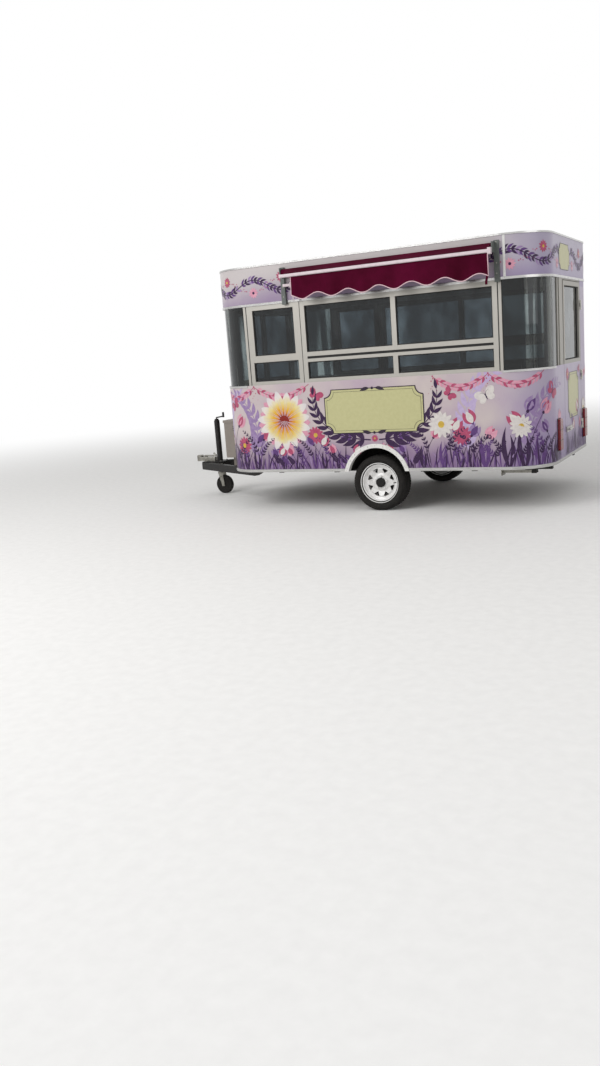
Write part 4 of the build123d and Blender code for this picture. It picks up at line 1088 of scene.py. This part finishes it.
inks = {
    # light tone, dark tone, lift off the wall
    "paleInk": ("#BBABCB", "#AF9DC2", 0.0004),
    "cloudInk": ("#8C749E", "#9A84AA", 0.0005),
    "blushInk": ("#D49BAC", "#C98AA0", 0.0006),
    "roseInk": ("#B0506F", "#A04362", 0.0009),
    "violetInk": ("#614179", "#53366B", 0.0010),
    "plumInk": ("#2F1A3A", "#3B2448", 0.0012),
    "whiteInk": ("#D6D1CC", "#C9C2C0", 0.0013),
    "creamInk": ("#BDBA8C", "#B8B587", 0.0009),
    "petalInk": (None, None, 0.0015),          # has the big daisy's tones
    "foldInk": ("#C6B7BF", "#BCAAB4", 0.0018),
    "yellowInk": ("#CBB050", "#C09C40", 0.0017),
    "redInk": ("#8E2A22", "#7A1F1C", 0.0021),
    "darkLineInk": ("#2A1F30", "#352838", 0.0019),
}
inkFinishes = {name: plainInk(name, *tones[:2]) if tones[0] else petalFinish()
               for name, tones in inks.items()}


def sweep(s, z, length, steps, turn, halfWidth, pace=lambda t: 1.0):
    # a stroke that grows step by step; turn, halfWidth and pace are read at the share t of its length
    points, radii = [], []
    for index in range(steps + 1):
        t = index / steps
        points.append((s, z))
        radii.append(halfWidth(t))
        step = length / steps * pace(t)
        s += step * math.cos(turn(t))
        z += step * math.sin(turn(t))
    return points, radii


def curl(s, z, heading, length, hand, wind, thick, steps, late, shrink):
    # a tapering stem that winds up towards its tip; late sets how long it stays nearly straight
    return sweep(s, z, length, steps, lambda t: heading + hand * wind * t ** late,
                 lambda t: thick * (1.0 - 0.66 * t), lambda t: 1 + shrink / 2 - shrink * t)


def leaf(s, z, heading, length, width, bend, steps):
    return sweep(s, z, length, steps, lambda t: heading + bend * t,
                 lambda t: width / 2 * max(0.02, math.sin(math.pi * t ** 0.8)))


def petal(s, z, heading, length, width, bend, steps):
    # broad and rounded, narrow at the flower's eye
    return sweep(s, z, length, steps, lambda t: heading + bend * t,
                 lambda t: width / 2 * max(0.02, math.sin(math.pi * t ** 1.25) ** 0.62))


def dot(s, z, size, steps=8):
    shares = [-1 + 2 * index / steps for index in range(steps + 1)]
    return ([(s + t * size, z) for t in shares],
            [size * math.sqrt(max(0.0, 1 - t * t)) + 0.0001 for t in shares])


scoopSteps = 10


def plaque(s, z, halfLength, halfHeight, scoop):
    # a filled plate whose corners are scooped out by a circle round each
    angles = [math.pi / 2 * index / scoopSteps for index in range(scoopSteps + 1)]
    rim = [(halfLength - scoop * math.sin(angle), halfHeight - scoop * math.cos(angle)) for angle in angles]
    return ([(s - x, z) for x, y in rim] + [(s + x, z) for x, y in reversed(rim)],
            [y for x, y in rim] + [y for x, y in reversed(rim)])


def plaqueLine(s, z, halfLength, halfHeight, scoop, thick):
    # the outline of such a plate, once round
    points = []
    for side, top, start in ((1, 1, -90), (-1, 1, 0), (-1, -1, 90), (1, -1, 180)):
        for index in range(scoopSteps + 1):
            angle = math.radians(start - 90 * index / scoopSteps)
            points.append((s + side * halfLength + scoop * math.cos(angle),
                           z + top * halfHeight + scoop * math.sin(angle)))
    points.append(points[0])
    return points, [thick] * len(points)


def headingAt(points, place):
    spot, after = points[place], points[place + 1]
    return math.atan2(after[1] - spot[1], after[0] - spot[0])


def leafPair(strokes, spot, direction, spread, length, width, bend, steps):
    for side in (-1, 1):
        strokes.append(leaf(*spot, direction + side * spread, length, width, -side * bend, steps))


def branch(strokes, s, z, heading, size, hand):
    # a bending twig with pairs of pointed leaves that shrink towards its tip
    stem = curl(s, z, heading, size * 1.3, hand, 1.7, 0.002 + size * 0.007, 44, 1.6, 0.3)
    strokes.append(stem)
    points = stem[0]
    for index in range(10):
        place = 3 + index * 4
        reach = size * (0.27 - 0.015 * index)
        leafPair(strokes, points[place], headingAt(points, place), 0.80, reach, reach * 0.34, 0.55, 9)
    strokes.append(leaf(*points[-1], headingAt(points, 43), size * 0.15, size * 0.05, 0.0, 8))


def berries(strokes, s, z, heading, size):
    for index in range(9):
        t = index / 8
        turn = heading + 0.3 * math.sin(index * 2.4)
        strokes.append(dot(s + size * t * math.cos(turn), z + size * t * math.sin(turn),
                           size * (0.04 - 0.028 * t)))


def daisy(strokes, petalName, coreName, s, z, size, turn, petals=13):
    for index in range(petals):
        angle = turn + 2 * math.pi * index / petals
        reach = size * (1.0, 0.93, 0.97)[index % 3]
        strokes[petalName].append(petal(s, z, angle, reach, size * 0.33, 0.12, 12))
    strokes[coreName].append(dot(s, z, size * 0.24, 12))


def tulip(strokes, kind, s, z, lean, size):
    # a stem that bows under its cup, two long leaves at the root, and a cup of three petals
    stemName, sideName, middleName = kind
    hand = -1 if lean < 0 else 1
    stem = curl(s, z, math.pi / 2 + lean, size, hand, 0.5, 0.0022 + size * 0.006, 22, 1.2, 0.1)
    tip, direction = stem[0][-1], headingAt(stem[0], 21)
    cup = 0.075 + size * 0.13
    strokes[stemName] += [stem, leaf(s, z, math.pi / 2 + 0.42, size * 0.72, size * 0.085, -0.75, 14),
                          leaf(s, z, math.pi / 2 - 0.36, size * 0.58, size * 0.075, 0.70, 14)]
    leafPair(strokes[sideName], tip, direction, 0.62, cup, cup * 0.50, 0.85, 14)
    strokes[middleName].append(leaf(*tip, direction, cup * 0.90, cup * 0.46, 0.0, 14))
    strokes[stemName].append(dot(*tip, cup * 0.10))


def seedHead(strokes, s, z, lean, size):
    # a fine stem with pairs of seeds up its top half
    hand = -1 if lean < 0 else 1
    stem = curl(s, z, math.pi / 2 + lean, size, hand, 0.9, 0.0030, 24, 1.5, 0.1)
    strokes.append(stem)
    points = stem[0]
    for place in range(10, 24, 2):
        reach = 0.050 - 0.0012 * place
        leafPair(strokes, points[place], headingAt(points, place), 0.9, reach, reach * 0.42, 0.4, 7)
    strokes.append(dot(*points[-1], 0.0065, 6))


def butterfly(strokes, wingName, s, z, size, turn):
    for side in (-1, 1):
        strokes[wingName].append(petal(s, z, turn + side * 0.95, size, size * 0.66, side * 0.25, 14))
        strokes[wingName].append(petal(s, z, turn + side * 2.05, size * 0.72, size * 0.52, -side * 0.25, 12))
        feeler = curl(s, z, turn + side * 0.25, size * 0.62, side, 2.0, size * 0.020, 14, 2.0, 0.4)
        strokes["plumInk"].append(feeler)
    back = (s - 0.28 * size * math.cos(turn), z - 0.28 * size * math.sin(turn))
    strokes["plumInk"].append(leaf(*back, turn, size * 0.58, size * 0.11, 0.0, 10))


def swag(strokes, start, end):
    # leaves strung on a line that hangs between two pins, with a tassel of berries at the first
    z, sag, count = lowerPrint["swagHeight"], lowerPrint["swagSag"], lowerPrint["swagLeaves"]
    length, width = lowerPrint["swagLeaf"]
    points = [(start + (end - start) * index / count, z - 4 * sag * index / count * (1 - index / count))
              for index in range(count + 1)]
    strokes["roseInk"].append((points, [0.003] * len(points)))
    for index in range(1, count):
        direction = headingAt(points, index) + (0 if index < count / 2 else math.pi)
        for side in (-1, 1):
            ink = "blushInk" if (index + side) % 3 else "roseInk"
            strokes[ink].append(leaf(*points[index], direction + side * 0.75, length, width, -side * 0.5, 8))
    berries(strokes["roseInk"], start, z + 0.004, -math.pi / 2, lowerPrint["tassel"])


meadow = {
    # the border that grows from the foot of the wall, over half the way round the body
    "start": -2.86, "foot": 0.375, "tulips": 34, "blades": 260, "seeds": 64,
    "bladeHeights": (0.09, 0.27), "bladeWidth": 0.012, "bladeLean": 0.35, "bladeBend": 0.9,
    "seedSizes": (0.24, 0.46), "seedLean": 0.4, "tulipLean": 0.28,
    "tulipSizes": (0.24, 0.50), "shortTulip": 0.16, "lowUnderSign": 0.42,
    "bladeInks": ("violetInk", "plumInk", "cloudInk", "violetInk"),
    # stem, cup sides and cup middle
    "tulipKinds": (("plumInk", "blushInk", "roseInk"), ("violetInk", "roseInk", "whiteInk"),
                   ("plumInk", "cloudInk", "violetInk")),
}
lowerPrint = {
    # ink, place from the axle, height, heading in degrees, size, hand
    "branches": (
        ("cloudInk", -1.22, 0.46, 80, 0.62, 1), ("paleInk", 0.86, 0.50, 100, 0.66, -1),
        ("cloudInk", 1.34, 0.50, 82, 0.62, -1), ("paleInk", -1.62, 0.50, 96, 0.60, -1),
        ("cloudInk", -2.20, 0.50, 90, 0.58, 1), ("paleInk", -2.70, 0.50, 84, 0.60, -1),
        ("plumInk", -0.04, 0.645, 176, 0.60, -1), ("plumInk", 0.04, 0.645, 4, 0.60, 1),
        ("violetInk", -0.20, 0.655, 160, 0.30, -1), ("violetInk", 0.20, 0.655, 20, 0.30, 1),
    ),
    # where each starts and ends
    "swags": ((-1.66, -1.20), (-1.20, -0.62), (0.56, 1.04), (1.04, 1.52), (-2.16, -1.66), (-2.66, -2.16),
              (-3.14, -2.66)),
    "swagHeight": 1.165, "swagSag": 0.10, "swagLeaves": 15, "swagLeaf": (0.058, 0.022), "tassel": 0.17,
    # wing ink, place from the axle, height, size, turn in degrees
    "butterflies": (
        ("roseInk", -0.56, 1.06, 0.085, 60), ("whiteInk", 1.02, 0.98, 0.105, 115),
        ("roseInk", 0.70, 1.01, 0.070, 40), ("roseInk", 1.62, 0.98, 0.095, 50),
        ("roseInk", -1.46, 1.00, 0.090, 120), ("whiteInk", -2.10, 1.02, 0.100, 70),
    ),
    # petal ink, core ink, place from the axle, height, size
    "daisies": (
        ("roseInk", "yellowInk", 0.0, 0.657, 0.034), ("roseInk", "yellowInk", -0.585, 0.70, 0.085),
        ("whiteInk", "yellowInk", 0.62, 0.76, 0.120), ("roseInk", "plumInk", 0.80, 0.66, 0.090),
        ("whiteInk", "yellowInk", 1.30, 0.72, 0.100), ("roseInk", "yellowInk", -1.36, 0.62, 0.090),
        ("whiteInk", "yellowInk", -1.90, 0.74, 0.110), ("roseInk", "plumInk", -2.50, 0.68, 0.100),
    ),
}


def drawEither(most):
    # a random amount to either side, at most so much
    return randomDraw.uniform(-most, most)


def scattered(count, spread):
    # even places over half the way round the body, each pushed a little aside
    for index in range(count):
        push = drawEither(spread)
        yield index, sOf(meadow["start"]) + ringLength / 2 * (index + push) / count


def underMotif(s, near):
    # below the sign or the big daisy, where the border stays low
    return abs(s - sOf(0)) < meadow["lowUnderSign"] or abs(s - sOf(bigDaisy["x"])) < near


def growMeadow(strokes):
    foot = meadow["foot"]
    for index, s in scattered(meadow["blades"], 0.4):
        height = randomDraw.uniform(*meadow["bladeHeights"])
        heading = math.pi / 2 + drawEither(meadow["bladeLean"])
        strokes[meadow["bladeInks"][index % 4]].append(
            leaf(s, foot, heading, height, meadow["bladeWidth"], drawEither(meadow["bladeBend"]), 12))
    for index, s in scattered(meadow["seeds"], 0.4):
        size = randomDraw.uniform(*meadow["seedSizes"]) * (0.5 if underMotif(s, 0.16) else 1)
        ink = "plumInk" if index % 3 else "violetInk"
        seedHead(strokes[ink], s, foot, drawEither(meadow["seedLean"]), size)
    for index, s in scattered(meadow["tulips"], 0.3):
        size = randomDraw.uniform(*meadow["tulipSizes"])
        lean = drawEither(meadow["tulipLean"])
        if underMotif(s, 0.20):
            size = meadow["shortTulip"]
        tulip(strokes, meadow["tulipKinds"][index % 3], s, foot, lean, size)


def drawBigDaisy(strokes):
    s, z = sOf(bigDaisy["x"]), bigDaisy["z"]
    width = bigDaisy["petalWidth"]
    for index in range(bigDaisy["petals"]):
        angle = bigDaisy["turn"] + 2 * math.pi * index / bigDaisy["petals"]
        behind = angle + math.pi / bigDaisy["petals"]
        reach = bigDaisy["petalLength"] * (0.94, 1.0, 0.97)[index % 3]
        strokes["blushInk"].append(petal(s, z, behind, reach * 0.98, width, 0.06, 18))
        strokes["petalInk"].append(petal(s, z, angle, reach, width, 0.06, 18))
        for side in (-0.05, 0.07):
            strokes["foldInk"].append(leaf(s, z, angle + side, reach * 0.80, 0.0045, 0.04, 12))
    strokes["redInk"].append(dot(s, z, bigDaisy["eyeRadius"], 16))
    for index in range(bigDaisy["seeds"]):
        angle, away = index * 2.4, 0.0085 * math.sqrt(index + 0.5)
        strokes["redInk" if away > 0.040 else "whiteInk"].append(
            dot(s + away * math.cos(angle), z + away * math.sin(angle), 0.0034, 4))


def lowerStrokes():
    strokes = {ink: [] for ink in inks}
    for ink, x, z, heading, size, hand in lowerPrint["branches"]:
        branch(strokes[ink], sOf(x), z, math.radians(heading), size, hand)
    for start, end in lowerPrint["swags"]:
        swag(strokes, sOf(start), sOf(end))
    for ink, x, z, size, turn in lowerPrint["butterflies"]:
        butterfly(strokes, ink, sOf(x), z, size, math.radians(turn))
    for petalName, coreName, x, z, size in lowerPrint["daisies"]:
        daisy(strokes, petalName, coreName, sOf(x), z, size, x)
    growMeadow(strokes)
    drawBigDaisy(strokes)
    return strokes


garland = {
    # the wave of leaves round the fascia: waves over half the way round, middle height and swing
    "waves": 8, "height": 2.075, "swing": 0.055, "steps": 36, "stem": 0.0045,
    "leafReach": (0.048, 0.066, 0.066), "leafWidth": 0.020, "leafSpread": 0.85, "leafGap": 0.04,
    "flowerSize": 0.050, "flowerAway": 0.115, "flowerGap": 0.06,       # gaps are kept beside the plaque
    "berriesAway": (0.07, 0.095), "berriesLength": 0.14, "berriesTilt": 0.35,
    "inks": ("plumInk", "violetInk", "plumInk", "cloudInk", "violetInk"),
    # the small empty plaque on each end's fascia: s, z, half length, half height and scoop
    "plaque": (sideRun + cornerRun + endRun / 2 - 0.20, 2.075, 0.20, 0.105, 0.045),
}


def fasciaStrokes():
    strokes = {ink: [] for ink in inks}
    total = garland["waves"] * garland["steps"]
    points = []
    for index in range(total + 1):
        wave = math.sin(2 * math.pi * index / garland["steps"])
        points.append((ringLength / 2 * index / total, garland["height"] + garland["swing"] * wave))
    strokes["plumInk"].append((points, [garland["stem"]] * len(points)))
    plaqueS, plaqueHalf = garland["plaque"][0], garland["plaque"][2]
    spread, width = garland["leafSpread"], garland["leafWidth"]
    for index in range(2, total, 2):
        if abs(points[index][0] - plaqueS) < plaqueHalf + garland["leafGap"]:
            continue
        direction = headingAt(points, index)
        for side in (-1, 1):
            reach = garland["leafReach"][(index // 2 + side) % 3]
            strokes[garland["inks"][index // 2 % 5]].append(
                leaf(*points[index], direction + side * spread, reach, width, -side * 0.6, 9))
    for index in range(garland["waves"] * 2):
        s, z = points[min(round((index + 0.5) * garland["steps"] / 2), total)]
        if abs(s - plaqueS) < plaqueHalf + garland["flowerGap"]:
            continue
        above, petalName, coreName = (-1, "roseInk", "yellowInk") if index % 2 else (1, "blushInk", "plumInk")
        daisy(strokes, petalName, coreName, s, z - above * garland["flowerAway"], garland["flowerSize"],
              index, 11)
        aside, away = garland["berriesAway"]
        tilt = garland["berriesTilt"]
        for side, direction in ((-1, math.pi - tilt), (1, tilt)):
            berries(strokes["roseInk"], s + side * aside, z - above * away, direction * above,
                    garland["berriesLength"])
    return strokes


doorPrint = {
    "plaque": (0.90, 0.22, 0.20, 0.06), "innerLine": (0.90, 0.20, 0.18, 0.055),    # z, halves and scoop
    "blades": 26, "bladeStart": -0.34, "bladePitch": 0.0265, "bladeHeights": (0.12, 0.28),
    "bladeWidth": 0.013, "bladeInks": ("violetInk", "plumInk", "cloudInk"),
    # place from the door's middle, size, lean
    "tulips": ((-0.27, 0.34, 0.10), (-0.12, 0.24, -0.14), (0.05, 0.30, 0.12), (0.17, 0.22, -0.10),
               (0.28, 0.38, 0.06)),
    # place from the door's middle, height, size, turn
    "daisy": (-0.24, 1.09, 0.06, 0.3), "butterfly": (0.25, 1.11, 0.055, 1.9),
}


def doorStrokes(middle):
    strokes = {ink: [] for ink in inks}
    strokes["creamInk"].append(plaque(middle, *doorPrint["plaque"]))
    strokes["darkLineInk"].append(plaqueLine(middle, *doorPrint["plaque"], 0.004))
    strokes["darkLineInk"].append(plaqueLine(middle, *doorPrint["innerLine"], 0.0018))
    for index in range(doorPrint["blades"]):
        s = middle + doorPrint["bladeStart"] + doorPrint["bladePitch"] * index
        heading = math.pi / 2 + drawEither(meadow["bladeLean"])
        height = randomDraw.uniform(*doorPrint["bladeHeights"])
        bend = drawEither(meadow["bladeBend"])
        strokes[doorPrint["bladeInks"][index % 3]].append(
            leaf(s, meadow["foot"], heading, height, doorPrint["bladeWidth"], bend, 12))
    for index, (away, size, lean) in enumerate(doorPrint["tulips"]):
        tulip(strokes, meadow["tulipKinds"][index % 3], middle + away, meadow["foot"], lean, size)
    away, z, size, turn = doorPrint["daisy"]
    daisy(strokes, "roseInk", "yellowInk", middle + away, z, size, turn)
    away, z, size, turn = doorPrint["butterfly"]
    butterfly(strokes, "roseInk", middle + away, z, size, turn)
    return strokes


signPlate = {
    "z": 0.905, "halfLength": 0.47, "halfHeight": 0.195, "scoop": 0.07,
    "border": 0.005, "innerStep": 0.022, "lift": 0.0012,       # the lift is over its inks' own
}


def signStrokes():
    # the plaques over the wheels and on the fascia's ends, left empty, with a dark border
    s, z, scoop, border = sOf(0), signPlate["z"], signPlate["scoop"], signPlate["border"]
    length, height, step = signPlate["halfLength"], signPlate["halfHeight"], signPlate["innerStep"]
    lines = [plaqueLine(s, z, length, height, scoop, border),
             plaqueLine(s, z, length - step, height - step, scoop, border * 0.3)]
    for side in (-1, 1):
        for top in (-1, 1):
            lines.append(leaf(s + side * 0.03, z + top * height, (1 - side) * math.pi / 2, 0.09, 0.030,
                              -top * side * 0.5, 12))
        lines.append(dot(s, z + side * height, 0.012))
    lines.append(plaqueLine(*garland["plaque"], 0.003))
    plates = [plaque(s, z, length, height, scoop), plaque(*garland["plaque"])]
    return {"creamInk": plates, "darkLineInk": lines}


def ribbonProfile():
    # a level line, so that a stroke becomes a flat ribbon
    data = bpy.data.curves.new("ribbonProfile", "CURVE")
    data.dimensions = "2D"
    spline = data.splines.new("POLY")
    spline.points.add(1)
    spline.points[0].co = (-1, 0, 0, 1)
    spline.points[1].co = (1, 0, 0, 1)
    profile = bpy.data.objects.new("ribbonProfile", data)
    bpy.context.scene.collection.objects.link(profile)
    return profile


def drawFlat(name, strokes, profile):
    # strokes that cross lie a hair apart, and each rises a hair along its length
    hair = 0.00002
    paths = []
    for index, (points, radii) in enumerate(strokes):
        rise = hair / len(points)
        paths.append([((s, z, index % 31 * hair + rise * step), radius)
                      for step, ((s, z), radius) in enumerate(zip(points, radii))])
    return curveMesh(name, paths, twist_mode="Z_UP", bevel_mode="OBJECT", bevel_object=profile)


def trimFlat(piece, sRange, zRange):
    pick(piece)
    editMode(None)
    for spot, normal in (
        ((sRange[0], 0, 0), (-1, 0, 0)), ((sRange[1], 0, 0), (1, 0, 0)),
        ((0, zRange[0], 0), (0, -1, 0)), ((0, zRange[1], 0), (0, 1, 0)),
    ):
        bpy.ops.mesh.select_all(action="SELECT")
        bpy.ops.mesh.bisect(plane_co=spot, plane_no=normal, clear_outer=True)
    objectMode()


def clearArches(piece):
    # no print inside the wheel arches
    for face in piece.data.polygons:
        reach = min(abs(face.center.x - sOf(0)), abs(face.center.x - sOf(0) + ringLength / 2))
        face.select = math.hypot(reach, face.center.y - archPlace["z"]) < archPlace["radius"]
    editMode(None)
    bpy.ops.mesh.select_mode(type="FACE")
    bpy.ops.mesh.delete(type="FACE")
    objectMode()


margins = {
    # bare wall kept round the print: at its start, its end, its foot and its top
    "lower": (0.012, 0.008, 0.028, 0.002), "fascia": (0, 0, 0.022, 0.010),
    "door": (0.004, 0.004, 0.004, 0.010),
}


def makeArtwork():
    profile = ribbonProfile()
    low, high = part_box("door_panel")
    doorStart, doorEnd = rearS(low.y), rearS(high.y)
    zones = (
        # name, strokes, whether they come on both sides, body, and the panel's s and z ranges
        ("lower", lowerStrokes(), True, "trailer", (doorEnd - ringLength, doorStart),
         (shell["skirt"], shell["sill"])),
        ("fascia", fasciaStrokes(), True, "trailer", (-ringLength / 2, ringLength / 2),
         (shell["head"], shell["top"])),
        ("door", doorStrokes((doorStart + doorEnd) / 2), False, "rear_door", (doorStart, doorEnd),
         (low.z, shell["sill"])),
        ("sign", signStrokes(), True, "trailer", None, None),
    )
    signNames = {"creamInk": "signPlaque", "darkLineInk": "signLines"}
    for zone, strokes, bothSides, body, sRange, zRange in zones:
        for ink, drawn in strokes.items():
            if not drawn:
                continue
            if bothSides:
                drawn = drawn + [([(s - ringLength / 2, z) for s, z in points], radii)
                                 for points, radii in drawn]
            name, lift = zone + ink[0].upper() + ink[1:], inks[ink][2]
            if zone == "sign":
                name, lift = signNames[ink], lift + signPlate["lift"]
            piece = drawFlat(name, drawn, profile)
            if zone in margins:
                start, end, foot, top = margins[zone]
                trimFlat(piece, (sRange[0] + start, sRange[1] - end), (zRange[0] + foot, zRange[1] - top))
            if zone in ("lower", "sign"):
                clearArches(piece)
            for vertex in piece.data.vertices:
                vertex.co = wallPoint(vertex.co.x, vertex.co.y, lift + vertex.co.z)
            dress(piece, "wrapped_panel", inkFinishes[ink], body)
    bpy.data.objects.remove(profile)


makeArtwork()
print("artwork laid on the walls")
